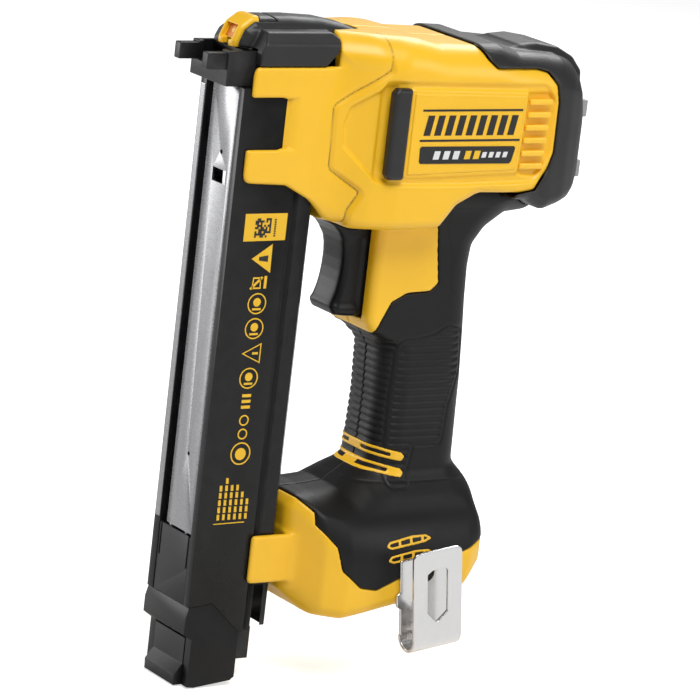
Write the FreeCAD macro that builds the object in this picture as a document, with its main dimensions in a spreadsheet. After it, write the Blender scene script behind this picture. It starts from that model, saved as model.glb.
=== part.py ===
"""Cordless stapler for cable staples: a clamshell body over a long sliding magazine.

Frame: millimetres, origin on the firing axis at the tip of the nose. +X runs rearwards
along the firing axis, +Y is the tool's left side and +Z is up. The battery is off the tool.
"""
import FreeCAD, Part
import math
import os
import Sketcher

DOC = FreeCAD.newDocument("cordless_stapler")
SHEET = DOC.addObject("Spreadsheet::Sheet", "Dims")

SIZES = [
    ("clearance", 0.1, "gap between fixed neighbours"),
    ("slide_gap", 0.3, "gap between sliding neighbours"),
    ("bore_gap", 0.05, "radial clearance of a running shaft"),
    ("mag_front", 17.0, "front face of the magazine"),
    ("mag_depth", 45.0, "magazine, front to rear"),
    ("mag_half", 17.1, "magazine half width"),
    ("mag_top", -10.8, "upper end of the magazine track"),
    ("mag_length", 224.8, "magazine track, upper end to the end cap seam"),
    ("mag_wall", 1.8, "magazine side wall"),
    ("mag_front_wall", 2.2, "magazine front rails"),
    ("rail_band", 7.0, "front rail, seen from the side"),
    ("valley_start", 29.0, "side plate edge, from the magazine front"),
    ("valley_width", 3.6, "valley between side plate and rear column"),
    ("valley_depth", 2.3, "depth of that valley"),
    ("column_side", 38.8, "flat side of the rear column ends, from the magazine front"),
    ("column_half", 8.6, "half width of the rear column's back"),
    ("left_strip", 4.5, "front rail left of the drawer"),
    ("right_strip", 3.8, "front rail right of the drawer"),
    ("plate_thick", 1.5, "drawer front plate"),
    ("plate_gap", 5.4, "open slot left of the front plate"),
    ("staple_half", 5.4, "staple half width"),
    ("staple_leg", 31.0, "staple, tips to crown"),
    ("staple_wire", 1.3, "staple wire"),
    ("rail_wall", 1.5, "staple rail wall"),
    ("strip_length", 150.0, "staples in the magazine"),
    ("cap_drop", 36.0, "end cap below the track seam"),
    ("latch_half", 12.2, "latch half width"),
    ("latch_pin_r", 1.5, "latch pin radius"),
    ("arm_wall", 2.1, "housing arms beside the magazine"),
    ("nose_half", 12.0, "nose body half width"),
    ("nose_top", 4.2, "nose body top face"),
    ("fork_tip", 0.0, "work contact tip"),
    ("fork_wall", 2.3, "work contact side wall"),
    ("prong_thick", 4.4, "fork prong thickness"),
    ("prong_half", 13.3, "fork half width at the prongs"),
    ("prong_reach", 9.3, "fork prong length"),
    ("contact_travel", 5.0, "work contact travel"),
    ("stroke", 38.0, "driver stroke"),
    ("blade_thick", 1.4, "driver blade"),
    ("carrier_length", 16.0, "driver carrier, front to rear"),
    ("carrier_half", 12.5, "driver carrier half width"),
    ("rod_r", 2.4, "guide rod radius"),
    ("rod_pitch", 9.0, "guide rod distance from the middle plane"),
    ("body_half", 33.5, "body half width"),
    ("body_wall", 3.2, "body shell"),
    ("body_length", 104.0, "yellow body behind the magazine"),
    ("cap_length", 24.0, "rear cap behind the yellow body"),
    ("motor_z", -32.0, "motor and lifter axis height"),
    ("motor_r", 17.0, "motor can radius"),
    ("motor_length", 38.0, "motor can length"),
    ("motor_x", 57.0, "motor can front, from the magazine rear"),
    ("can_wall", 1.4, "motor can wall"),
    ("shaft_r", 2.0, "motor shaft radius"),
    ("tooth_size", 0.55, "gear module of the planetary stage"),
    ("lifter_x", 21.5, "lifter axis, from the magazine rear"),
    ("lifter_r", 14.5, "lifter disc radius"),
    ("trigger_half", 10.8, "trigger half width"),
    ("trigger_travel", 6.0, "trigger travel"),
    ("grip_half", 18.0, "grip half width over the rubber"),
    ("rubber", 2.2, "rubber skin on the grip"),
    ("foot_half", 38.0, "foot half width"),
    ("foot_wall", 3.0, "foot shell"),
    ("foot_tilt", 10.4, "slope of the foot underside, degrees"),
    ("bay_half", 29.0, "battery bay half width"),
    ("bay_lip", 4.0, "battery rail lip"),
    ("hook_width", 25.0, "belt hook width"),
    ("hook_thick", 1.6, "belt hook sheet"),
    ("hook_gap", 9.5, "belt hook, inside width of the bend"),
    ("hook_tilt", 7.5, "belt hook, lean from upright in degrees"),
    ("screw_r", 1.5, "housing screw shank radius"),
    ("bumper_proud", 1.8, "side bumper height over the body side"),
    ("saddle", 1.2, "rear cap skin over the body"),
]
for row, (alias, value, note) in enumerate(SIZES, 1):
    SHEET.set(f"A{row}", alias)
    SHEET.set(f"B{row}", str(value))
    SHEET.setAlias(f"B{row}", alias)
    SHEET.set(f"C{row}", note)
DOC.recompute()


class Size(float):
    """A number that also knows its formula in terms of the spreadsheet's cells."""

    def __new__(cls, value, text=None):
        size = float.__new__(cls, value)
        size.text = text or f"({float(value)!r})"
        return size

    def _join(self, other, sign, value, flip=False):
        other_text = getattr(other, "text", f"({float(other)!r})")
        first, second = (other_text, self.text) if flip else (self.text, other_text)
        return Size(value, f"({first} {sign} {second})")

    def __add__(self, other):
        return self._join(other, "+", float(self) + float(other))

    def __radd__(self, other):
        return self._join(other, "+", float(other) + float(self), flip=True)

    def __sub__(self, other):
        return self._join(other, "-", float(self) - float(other))

    def __rsub__(self, other):
        return self._join(other, "-", float(other) - float(self), flip=True)

    def __mul__(self, other):
        return self._join(other, "*", float(self) * float(other))

    def __rmul__(self, other):
        return self._join(other, "*", float(other) * float(self), flip=True)

    def __truediv__(self, other):
        return self._join(other, "/", float(self) / float(other))

    def __neg__(self):
        return Size(-float(self), f"(0 - {self.text})")


class Dims:
    """The spreadsheet's cells by name."""


D = Dims()
for alias, value, note in SIZES:
    setattr(D, alias, Size(float(SHEET.get(alias)), f"Dims.{alias}"))

SUBPARTS = {}


def bind(item, prop, size):
    """Tie one property to the spreadsheet."""
    text = getattr(size, "text", None)
    if text is None:
        text = repr(float(size))
    item.setExpression(prop, text)


def keep(item, label):
    """Name a finished sub-part."""
    item.Label = label
    SUBPARTS[label] = item
    return item


def box(x, y, z):
    """A box from (low, high) pairs."""
    item = DOC.addObject("Part::Box", "Block")
    for prop, place, (low, high) in zip(("Length", "Width", "Height"), "xyz", (x, y, z)):
        bind(item, prop, high - low if isinstance(high, Size) else Size(high) - low)
        bind(item, f"Placement.Base.{place}", low)
    return item


TURNS = {
    "x": FreeCAD.Rotation(FreeCAD.Vector(0, 1, 0), 90),
    "y": FreeCAD.Rotation(FreeCAD.Vector(1, 0, 0), -90),
    "z": FreeCAD.Rotation(),
}


def rod(axis, centre, span, radius):
    """A cylinder along an axis; centre is the other two coordinates in order."""
    item = DOC.addObject("Part::Cylinder", "Rod")
    item.Placement = FreeCAD.Placement(FreeCAD.Vector(), TURNS[axis])
    bind(item, "Radius", radius)
    bind(item, "Height", Size(span[1]) - span[0] if not isinstance(span[1], Size) else span[1] - span[0])
    places = dict(zip([name for name in "xyz" if name != axis], centre))
    places[axis] = span[0]
    for name, place in places.items():
        bind(item, f"Placement.Base.{name}", place)
    return item


def fuse(*items):
    """One solid from several."""
    item = DOC.addObject("Part::MultiFuse", "Joined")
    item.Shapes = list(items)
    return item


def group(*items):
    """Several separate solids in one object."""
    item = DOC.addObject("Part::Compound", "Group")
    item.Links = list(items)
    return item


def cut(base, *tools):
    """The base less its tools."""
    item = DOC.addObject("Part::Cut", "Pocketed")
    item.Base = base
    item.Tool = tools[0] if len(tools) == 1 else fuse(*tools)
    return item


def tube(axis, centre, span, outer, inner):
    """A ring or sleeve."""
    return cut(rod(axis, centre, span, outer), rod(axis, centre, span, inner))


PLANES = {"xy": "XY_Plane", "xz": "XZ_Plane", "yz": "YZ_Plane"}


def outline(body, plane, points, lift=None):
    """A closed sketch on one of the body's origin planes, each corner tied to the sheet."""
    sketch = body.newObject("Sketcher::SketchObject", "Outline")
    role = PLANES[plane]
    sketch.AttachmentSupport = [
        (feature, "") for feature in body.Origin.OriginFeatures if feature.Role == role
    ]
    sketch.MapMode = "FlatFace"
    if lift is not None:
        bind(sketch, "AttachmentOffset.Base.z", lift)
    corners = [FreeCAD.Vector(float(a), float(b), 0) for a, b in points]
    count = len(corners)
    for index in range(count):
        edge = Part.LineSegment(corners[index], corners[(index + 1) % count])
        sketch.addGeometry(edge, False)
    for index in range(count):
        sketch.addConstraint(Sketcher.Constraint("Coincident", index, 2, (index + 1) % count, 1))
    for index, (a, b) in enumerate(points):
        for kind, letter, value in (("DistanceX", "a", a), ("DistanceY", "b", b)):
            place = sketch.addConstraint(Sketcher.Constraint(kind, -1, 1, index, 1, float(value)))
            name = f"{letter}{index}"
            sketch.renameConstraint(place, name)
            bind(sketch, f"Constraints.{name}", value)
    return sketch


def pad(plane, points, low, high):
    """A body padded from an outline: along Z on the xy plane, along X on the yz plane."""
    body = DOC.addObject("PartDesign::Body", "Body")
    feature = body.newObject("PartDesign::Pad", "Pad")
    feature.Profile = outline(body, plane, points, low)
    bind(feature, "Length", high - low)
    return body


def pad_across(points, half):
    """A body padded both ways from the middle plane."""
    body = DOC.addObject("PartDesign::Body", "Body")
    feature = body.newObject("PartDesign::Pad", "Pad")
    feature.Profile = outline(body, "xz", points)
    feature.Midplane = True
    bind(feature, "Length", 2 * half)
    return body


def solid(shape):
    """A document object for a shape made with Part's own functions."""
    item = DOC.addObject("Part::Feature", "Shell")
    item.Shape = shape
    return item


def face(points3):
    """A plane face through corners."""
    corners = [FreeCAD.Vector(*map(float, point)) for point in points3]
    return Part.Face(Part.makePolygon(corners + corners[:1]))


def side_slab(points, low, high):
    """A side outline in X and Z, given thickness from Y = low to high."""
    return face([(a, low, b) for a, b in points]).extrude(FreeCAD.Vector(0, float(high - low), 0))


def plan_slab(points, low, high):
    """A plan outline in X and Y, given height."""
    return face([(a, b, low) for a, b in points]).extrude(FreeCAD.Vector(0, 0, float(high - low)))


def end_slab(points, low, high):
    """An outline in Y and Z, given length along X."""
    return face([(low, a, b) for a, b in points]).extrude(FreeCAD.Vector(float(high - low), 0, 0))


def brick(x, y, z):
    """A plain box shape."""
    corner = FreeCAD.Vector(float(x[0]), float(y[0]), float(z[0]))
    return Part.makeBox(float(x[1] - x[0]), float(y[1] - y[0]), float(z[1] - z[0]), corner)


def pole(axis, centre, span, radius):
    """A plain cylinder shape."""
    places = dict(zip([name for name in "xyz" if name != axis], centre))
    places[axis] = span[0]
    start = FreeCAD.Vector(*(float(places[name]) for name in "xyz"))
    way = FreeCAD.Vector(*(float(name == axis) for name in "xyz"))
    return Part.makeCylinder(float(radius), float(span[1] - span[0]), start, way)


def loft(loops):
    """A faceted solid through loops of equal count."""
    wires = []
    for loop in loops:
        corners = [FreeCAD.Vector(*map(float, point)) for point in loop]
        wires.append(Part.makePolygon(corners + corners[:1]))
    return Part.makeLoft(wires, True, True)


# Places that follow from the driving sizes.
MAG_REAR = D.mag_front + D.mag_depth
MAG_BASE = D.mag_top - D.mag_length
ARM_HALF = D.mag_half + D.slide_gap + D.arm_wall
ARM_INNER = D.mag_half + D.slide_gap
BODY_FRONT = MAG_REAR + D.slide_gap
BODY_REAR = MAG_REAR + D.body_length
CAP_REAR = BODY_REAR + D.cap_length
TRACK_LEFT = D.mag_half - D.left_strip
TRACK_RIGHT = D.mag_half - D.right_strip
CAVITY_HALF = D.mag_half - D.valley_depth - 1.4
FOOT_FRONT = MAG_REAR + 2 * D.slide_gap


# The magazine ---------------------------------------------------------------

def magazine_track():
    """Fixed profile: front rails, side plates, valleys and rear column, open at the front."""
    front = D.mag_front
    valley = front + D.valley_start
    valley_end = valley + D.valley_width
    floor = D.mag_half - D.valley_depth
    inner_front = front + D.mag_front_wall
    inner_rear = MAG_REAR - D.mag_wall
    side_end = front + D.column_side
    right = [
        (front, -TRACK_RIGHT), (front, -D.mag_half),
        (valley, -D.mag_half), (valley + 1.2, -floor), (valley_end - 1.2, -floor),
        (valley_end, -D.mag_half), (side_end, -D.mag_half), (MAG_REAR, -D.column_half),
    ]
    left = [
        (MAG_REAR, D.column_half), (side_end, D.mag_half), (valley_end, D.mag_half),
        (valley_end - 1.2, floor), (valley + 1.2, floor), (valley, D.mag_half),
        (front, D.mag_half), (front, TRACK_LEFT),
    ]
    inner_side = side_end + 0.4
    inner_half = D.column_half - 0.6
    inside = [
        (inner_front, TRACK_LEFT), (inner_front, CAVITY_HALF), (inner_side, CAVITY_HALF),
        (inner_rear, inner_half), (inner_rear, -inner_half), (inner_side, -CAVITY_HALF),
        (inner_front, -CAVITY_HALF), (inner_front, -TRACK_RIGHT),
    ]
    body = pad("xy", right + left + inside, MAG_BASE - 12.4, D.mag_top)
    seam = MAG_BASE + D.clearance
    slope_start = front + 12.0
    slope_end = front + 27.0
    under = [
        (front - 1, seam), (slope_start, seam + 1.3), (slope_end, seam - 12.7),
        (slope_end, seam - 20), (front - 1, seam - 20),
    ]
    pocket = body.newObject("PartDesign::Pocket", "EndSeam")
    pocket.Profile = outline(body, "xz", under)
    pocket.Midplane = True
    bind(pocket, "Length", 3 * D.mag_half)
    corner_z = MAG_BASE + 8.5
    sides = []
    for sign in (-1, 1):
        low, high = sorted((sign * 10.5, sign * (float(D.mag_half) + 1)))
        column = (valley_end - 0.2, MAG_REAR + 1)
        sides.append(box(column, (Size(low), Size(high)), (corner_z - 40, corner_z)))
    keep(cut(body, *sides), "magazine_track")


def drawer_plates():
    """Front plate with its window, the lower plate with its tongue, both on the drawer."""
    front = D.mag_front + 0.2
    depth = (front, front + D.plate_thick)
    left = TRACK_LEFT - D.plate_gap
    right = -(TRACK_RIGHT - D.slide_gap)
    seam = MAG_BASE + 31.5
    top = D.mag_top - 0.2
    plate = box(depth, (right, left), (seam, top))
    window = box((front - 1, front + 3), (Size(-9.8), Size(1.0)), (D.mag_top - 42.4, D.mag_top - 36.6))
    sight = rod("x", (Size(-4.2), D.mag_top - 29.3), (front - 1, front + 3), Size(1.0))
    lower_sight = rod("x", (Size(-4.2), D.mag_top - 160.0), (front - 1, front + 3), Size(0.9))
    keep(cut(plate, window, sight, lower_sight), "magazine_front_plate")
    lower_left = TRACK_LEFT - D.slide_gap
    lower = box(depth, (right, lower_left), (MAG_BASE + 2 * D.clearance, seam - 1.2))
    slots = [
        box((front - 1, front + 3), (Size(side) - 0.4, Size(side) + 0.4), (seam - 15.5, seam))
        for side in (-11.6, 10.9)
    ]
    keep(cut(lower, *slots), "magazine_lower_plate")


FLOOR_LIFT = 2.0


def staple_feed():
    """Rail, staples, pusher and feed spring, standing in the drawer."""
    start = D.mag_front + 0.2 + D.plate_thick
    inner = D.staple_half + 0.2
    outer = inner + D.rail_wall
    rear = start + D.staple_leg + 1.6
    rail = [
        (start, -outer), (rear + D.rail_wall, -outer), (rear + D.rail_wall, outer), (start, outer),
        (start, inner), (rear, inner), (rear, -inner), (start, -inner),
    ]
    keep(pad("xy", rail, MAG_BASE + FLOOR_LIFT, D.mag_top - 0.2), "staple_rail")
    tips = start + 0.6
    crown = tips + D.staple_leg
    leg = D.staple_half - D.staple_wire
    staple = [
        (tips, -D.staple_half), (crown, -D.staple_half), (crown, D.staple_half), (tips, D.staple_half),
        (tips, leg), (crown - D.staple_wire, leg), (crown - D.staple_wire, -leg), (tips, -leg),
    ]
    top = -D.blade_thick / 2 - 0.1
    base = top - D.strip_length
    keep(pad("xy", staple, base, top), "staple_strip")
    pusher = box((tips, crown), (-D.staple_half, D.staple_half), (base - 20, base))
    keep(pusher, "staple_pusher")
    middle = (tips + crown) / 2
    floor = MAG_BASE + FLOOR_LIFT
    keep(tube("z", (middle, Size(0.0)), (floor, base - 20), Size(4.2), Size(3.2)), "pusher_spring")


def end_cap():
    """Bottom closure of the drawer, its press latch, pin and spring."""
    front = D.mag_front
    seam = MAG_BASE
    bottom = MAG_BASE - D.cap_drop
    side = [
        (front + 0.6, seam), (front + 12.0, seam + 1.2), (front + 27.0, seam - 12.8),
        (front + 27.0, bottom + 3.5), (front + 25.0, bottom + 2.0),
        (front + 7.0, bottom), (front + 3.6, bottom + 0.4), (front + 3.6, seam - 14.5),
        (front - 0.6, seam - 11.5), (front - 0.6, seam - 4.5),
    ]
    body = pad_across(side, D.mag_half)
    catch = box((front + 26.0, front + 38.0), (Size(-9.0), Size(9.0)), (seam - 27.5, seam - 13.2))
    wedge_half = D.latch_half + D.slide_gap
    room = box((front - 2, front + 12), (-wedge_half, wedge_half), (bottom - 2, seam - 14.2))
    pin_x = front + 7.0
    pin_z = seam - 17.5
    pin_hole = rod("y", (pin_x, pin_z), (-D.mag_half + 2, D.mag_half - 2), D.latch_pin_r)
    keep(cut(fuse(body, catch), room, pin_hole), "end_cap")
    keep(rod("y", (pin_x, pin_z), (-D.mag_half + 2, D.mag_half - 2), D.latch_pin_r), "latch_pin")
    latch = [
        (front + 3.3, seam - 15.0), (front + 3.3, seam - 26.4), (front - 0.4, seam - 31.3),
        (front - 0.2, bottom + 0.2), (front + 8.4, bottom + 0.4), (front + 9.6, seam - 20.0),
        (front + 9.6, seam - 15.0),
    ]
    lever = pad_across(latch, D.latch_half)
    bore = rod("y", (pin_x, pin_z), (-D.mag_half, D.mag_half), D.latch_pin_r + D.bore_gap)
    keep(cut(lever, bore), "magazine_latch")
    spring_span = (front + 9.3, front + 12.0)
    keep(tube("x", (Size(0.0), seam - 28.0), spring_span, Size(2.6), Size(1.9)), "latch_spring")


# The nose -------------------------------------------------------------------

def nose():
    """Steel nose body with the staple throat and blade slot, its cover, screws and the work contact."""
    rear = MAG_REAR - 1.0
    inner = D.staple_half + 0.2
    start = D.mag_front + 0.2 + D.plate_thick
    throat_rear = start + D.staple_leg + 1.6
    low = D.mag_top + 0.3
    body = box((D.mag_front + 1.0, rear), (-D.nose_half, D.nose_half), (low, D.nose_top))
    throat = box((start, throat_rear), (-inner, inner), (low - 1, D.blade_thick / 2 + 0.1))
    slot = box(
        (D.mag_front, rear + 1), (-inner, inner), (-D.blade_thick / 2 - 0.1, D.blade_thick / 2 + 0.1)
    )
    screw_x = [start + 6.0, throat_rear + 2.0]
    screw_y = 8.8
    shanks = [
        rod("z", (x, Size(side * screw_y)), (Size(0.2), D.nose_top + 1.2), Size(1.2))
        for x in screw_x for side in (-1, 1)
    ]
    keep(cut(body, throat, slot, *shanks), "nose_body")
    cover_half = D.nose_half - 0.8
    cover = box((D.mag_front + 5.0, rear), (-cover_half, cover_half), (D.nose_top, D.nose_top + 1.2))
    holes = [
        rod("z", (x, Size(side * screw_y)), (D.nose_top - 1, D.nose_top + 2), Size(1.2))
        for x in screw_x for side in (-1, 1)
    ]
    keep(cut(cover, *holes), "nose_cover")
    screws = []
    for x in screw_x:
        for side in (-1, 1):
            shank = rod("z", (x, Size(side * screw_y)), (Size(0.2), D.nose_top + 1.2), Size(1.2))
            head = rod("z", (x, Size(side * screw_y)), (D.nose_top + 1.2, D.nose_top + 2.4), Size(2.2))
            screws.append(fuse(shank, head))
    keep(group(*screws), "nose_screws")


def work_contact():
    """Forked cable guide that is pushed back against a spring when the tool meets the work."""
    wall_in = D.nose_half + D.slide_gap
    wall_out = wall_in + D.fork_wall
    bar_back = D.mag_front - 1.0 - D.contact_travel + 0.6
    low = D.mag_top + 0.4
    prong_in = D.prong_half - D.prong_thick
    parts = []
    for side in (-1, 1):
        y0, y1 = sorted((side * prong_in, side * D.prong_half))
        parts.append(box((D.fork_tip, D.prong_reach), (y0, y1), (Size(-3.5), Size(3.5))))
        y0, y1 = sorted((side * prong_in, side * wall_out))
        parts.append(box((D.prong_reach, bar_back), (y0, y1), (low, D.nose_top + 0.2)))
        y0, y1 = sorted((side * wall_in, side * wall_out))
        parts.append(box((bar_back - 0.5, D.mag_front + 18.0), (y0, y1), (low, D.nose_top + 0.2)))
    parts.append(box((D.prong_reach, bar_back), (-wall_out, wall_out), (low, Size(-3.5))))
    keep(fuse(*parts), "work_contact")
    start = D.mag_front + 18.0
    middle = (wall_in + wall_out) / 2
    springs = [
        tube("x", (Size(side * float(middle)), Size(-3.0)), (start, start + 22.0), Size(1.1), Size(0.7))
        for side in (-1, 1)
    ]
    keep(group(*springs), "contact_springs")


# The drive ------------------------------------------------------------------

CARRIER_X = MAG_REAR + 50.0
CARRIER_REAR = CARRIER_X + D.carrier_length
BLADE_X = CARRIER_X - 56.5
FRAME_X = MAG_REAR + 4.8
FRAME_REAR = BODY_REAR - 14.0


def driver():
    """Blade, carrier, guide rods, drive springs and the two frame plates with the front stop."""
    half = D.blade_thick / 2
    keep(box((BLADE_X, CARRIER_X), (Size(-5.0), Size(5.0)), (-half, half)), "driver_blade")
    block = box((CARRIER_X, CARRIER_REAR), (-D.carrier_half, D.carrier_half), (Size(-7.5), Size(3.5)))
    lug = box((CARRIER_X, CARRIER_X + 5.5), (Size(-2.4), Size(2.4)), (Size(-15.4), Size(-7.0)))
    bores = [
        rod("x", (side * D.rod_pitch, Size(-2.0)), (CARRIER_X - 1, CARRIER_REAR + 1), D.rod_r + D.bore_gap)
        for side in (-1, 1)
    ]
    keep(cut(fuse(block, lug), *bores), "driver_carrier")
    rods = [
        rod("x", (side * D.rod_pitch, Size(-2.0)), (FRAME_X + 1.0, FRAME_REAR + 2.0), D.rod_r)
        for side in (-1, 1)
    ]
    keep(group(*rods), "guide_rods")
    springs = [
        tube("x", (side * D.rod_pitch, Size(-2.0)), (CARRIER_REAR, FRAME_REAR), Size(4.4), D.rod_r + 0.4)
        for side in (-1, 1)
    ]
    keep(group(*springs), "drive_springs")
    plates = []
    for low, high in ((FRAME_X, FRAME_X + 3.4), (FRAME_REAR, FRAME_REAR + 3.4)):
        plate = box((low, high), (Size(-13.6), Size(13.6)), (Size(-13.0), Size(3.0)))
        sockets = [
            rod("x", (side * D.rod_pitch, Size(-2.0)), (low - 1, high + 1), D.rod_r) for side in (-1, 1)
        ]
        slot = box((low - 1, high + 1), (Size(-5.6), Size(5.6)), (-half - 0.3, half + 0.3))
        plates.append(cut(plate, slot, *sockets))
    keep(group(*plates, *bearing_plates()), "frame_plates")
    stop_end = CARRIER_X - D.stroke - 0.3
    pad_low = FRAME_X + 3.4
    bumper = box((pad_low, stop_end), (Size(-12.0), Size(12.0)), (Size(-7.0), Size(3.0)))
    rod_holes = [
        rod("x", (side * D.rod_pitch, Size(-2.0)), (pad_low - 1, stop_end + 1), D.rod_r) for side in (-1, 1)
    ]
    slot = box((pad_low - 1, stop_end + 1), (Size(-5.6), Size(5.6)), (-half - 0.3, half + 0.3))
    keep(cut(bumper, slot, *rod_holes), "front_bumper")


LIFTER_X = MAG_REAR + D.lifter_x
PLATE_IN = Size(12.0)
PLATE_OUT = Size(14.5)
LIFTER_SHAFT_R = Size(3.0)


def lifter():
    """Cross shaft with two discs, lifting pins and a crown gear, in bearings in the side plates."""
    axis = (LIFTER_X, D.motor_z)
    shaft_r = LIFTER_SHAFT_R
    keep(rod("y", axis, (-PLATE_OUT, PLATE_OUT), shaft_r), "lifter_shaft")
    spans = ((Size(-5.0), Size(-3.0)), (Size(3.0), Size(5.0)))
    discs = [rod("y", axis, span, D.lifter_r) for span in spans]
    hub = rod("y", axis, (Size(-3.0), Size(3.0)), Size(6.0))
    bore = rod("y", axis, (Size(-6.0), Size(6.0)), shaft_r)
    pins = []
    holes = []
    for angle in (-40, -90, -140):
        turn = math.radians(angle)
        arm = D.lifter_r - 2.2
        place = (LIFTER_X + arm * math.cos(turn), D.motor_z + arm * math.sin(turn))
        pins.append(rod("y", place, (Size(-5.0), Size(5.0)), Size(1.6)))
        holes.append(rod("y", place, (Size(-6.0), Size(6.0)), Size(1.6)))
    keep(group(cut(fuse(*discs, hub), bore, *holes), *pins), "lifter_wheel")
    gear = rod("y", axis, (Size(6.6), Size(9.6)), D.lifter_r + 1.5)
    keep(cut(gear, rod("y", axis, (Size(6.0), Size(10.0)), shaft_r)), "crown_gear")


def bearing_plates():
    """The upright plates on both sides of the lifter."""
    axis = (LIFTER_X, D.motor_z)
    plates = []
    for side in (-1, 1):
        across = tuple(sorted((side * PLATE_IN, side * PLATE_OUT)))
        plate = box((LIFTER_X - 13.0, LIFTER_X + 18.0), across, (D.motor_z - 12.0, D.motor_z + 14.0))
        plates.append(cut(plate, rod("y", axis, across, Size(6.0))))
    return plates


def bearings():
    """Ball bearings of the lifter shaft and the motor shaft, as plain rings."""
    can_end = MOTOR_X + D.motor_length
    rings = [
        tube(
            "y", (LIFTER_X, D.motor_z), tuple(sorted((side * PLATE_IN, side * PLATE_OUT))),
            Size(6.0), LIFTER_SHAFT_R + D.bore_gap,
        )
        for side in (-1, 1)
    ]
    for span in ((MOTOR_X, MOTOR_X + 3.0), (can_end - 3.0, can_end)):
        rings.append(tube("x", (Size(0.0), D.motor_z), span, Size(6.0), D.shaft_r + D.bore_gap))
    keep(group(*rings), "bearings")


MOTOR_X = MAG_REAR + D.motor_x
PINION_X = LIFTER_X + D.lifter_r + 0.5
SUN_TEETH = 12
PLANET_TEETH = 18
RING_TEETH = 48


def drivetrain():
    """Motor, its shaft and fan, and the planetary stage that turns the bevel pinion."""
    axis = (Size(0.0), D.motor_z)
    sun_r = D.tooth_size * SUN_TEETH / 2
    planet_r = D.tooth_size * PLANET_TEETH / 2
    ring_r = D.tooth_size * RING_TEETH / 2
    orbit = sun_r + planet_r
    case_x = PINION_X + 5.6
    case_out = ring_r + 2.2
    stage_x = MOTOR_X - 8.0
    stage_end = MOTOR_X - 1.6
    shell = rod("x", axis, (case_x, MOTOR_X), case_out)
    hollow = rod("x", axis, (case_x + 1.6, MOTOR_X + 1), ring_r + 1.2)
    mouth = rod("x", axis, (case_x - 1, case_x + 2), Size(4.0) + D.bore_gap)
    ring = tube("x", axis, (stage_x - 0.4, stage_end), ring_r + 1.2, ring_r)
    keep(fuse(cut(shell, hollow, mouth), ring), "gear_case")
    out_shaft = rod("x", axis, (PINION_X, case_x + 2.0), Size(4.0))
    disc = rod("x", axis, (case_x + 1.9, stage_x - 0.6), ring_r - 1.2)
    studs = []
    planets = []
    for index in range(3):
        turn = math.radians(90 + 120 * index)
        place = (orbit * math.cos(turn), D.motor_z + orbit * math.sin(turn))
        studs.append(rod("x", place, (stage_x - 0.7, stage_end), Size(1.2)))
        planets.append(tube("x", place, (stage_x, stage_end), planet_r - 0.15, Size(1.2) + D.bore_gap))
    keep(fuse(out_shaft, disc, *studs), "planet_carrier")
    for index, planet in enumerate(planets, 1):
        keep(planet, f"planet_gear_{index}")
    pinion = DOC.addObject("Part::Cone", "Bevel")
    pinion.Placement = FreeCAD.Placement(FreeCAD.Vector(), TURNS["x"])
    bind(pinion, "Radius1", Size(6.3))
    bind(pinion, "Radius2", Size(5.0))
    bind(pinion, "Height", Size(4.8))
    bind(pinion, "Placement.Base.x", PINION_X)
    bind(pinion, "Placement.Base.z", D.motor_z)
    keep(cut(pinion, rod("x", axis, (PINION_X - 1, PINION_X + 6), Size(4.0))), "bevel_pinion")

    can_end = MOTOR_X + D.motor_length
    inner = D.motor_r - D.can_wall
    can = rod("x", axis, (MOTOR_X, can_end), D.motor_r)
    room = rod("x", axis, (MOTOR_X + 2.0, can_end - 2.0), inner)
    front_seat = rod("x", axis, (MOTOR_X - 1, MOTOR_X + 3), Size(6.0))
    rear_seat = rod("x", axis, (can_end - 3, can_end + 1), Size(6.0))
    keep(cut(can, room, front_seat, rear_seat), "motor_can")
    keep(tube("x", axis, (MOTOR_X + 4.0, can_end - 4.0), inner, inner - 3.4), "motor_stator")
    shaft_end = can_end + 11.0
    shaft = rod("x", axis, (stage_x, shaft_end), D.shaft_r)
    core = rod("x", axis, (MOTOR_X + 5.0, can_end - 5.0), inner - 4.0)
    keep(fuse(shaft, core), "motor_rotor")
    keep(tube("x", axis, (stage_x + 0.2, stage_end), sun_r - 0.15, D.shaft_r), "motor_pinion")
    fan_x = can_end + 3.0
    hub = rod("x", axis, (fan_x, fan_x + 7.0), Size(5.0))
    back = rod("x", axis, (fan_x, fan_x + 1.4), D.motor_r - 2.0)
    blades = []
    for index in range(9):
        blade = DOC.addObject("Part::Box", "Blade")
        bind(blade, "Length", Size(6.0))
        bind(blade, "Width", Size(1.0))
        bind(blade, "Height", D.motor_r - 6.5)
        turn = FreeCAD.Rotation(FreeCAD.Vector(1, 0, 0), 40 * index)
        offset = turn.multVec(FreeCAD.Vector(0, -0.5, 4.5))
        blade.Placement = FreeCAD.Placement(offset, turn)
        bind(blade, "Placement.Base.x", fan_x + 1.0)
        bind(blade, "Placement.Base.z", D.motor_z + offset.z)
        blades.append(blade)
    keep(cut(fuse(hub, back, *blades), rod("x", axis, (fan_x - 1, fan_x + 9), D.shaft_r)), "cooling_fan")


# The casings ----------------------------------------------------------------

def ring_section(x, half, top, bottom, grow=0.0):
    """Twelve corners round the body at one station."""
    half = half + grow
    top = top + grow
    bottom = bottom - grow
    right = [
        (0.42 * half, top), (0.80 * half, top - 6.0), (half, top - 18.0),
        (half, bottom + 11.0), (0.86 * half, bottom + 3.0), (0.60 * half, bottom),
    ]
    loop = right + [(-a, b) for a, b in reversed(right)]
    return [(x, a, b) for a, b in loop]


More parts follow.
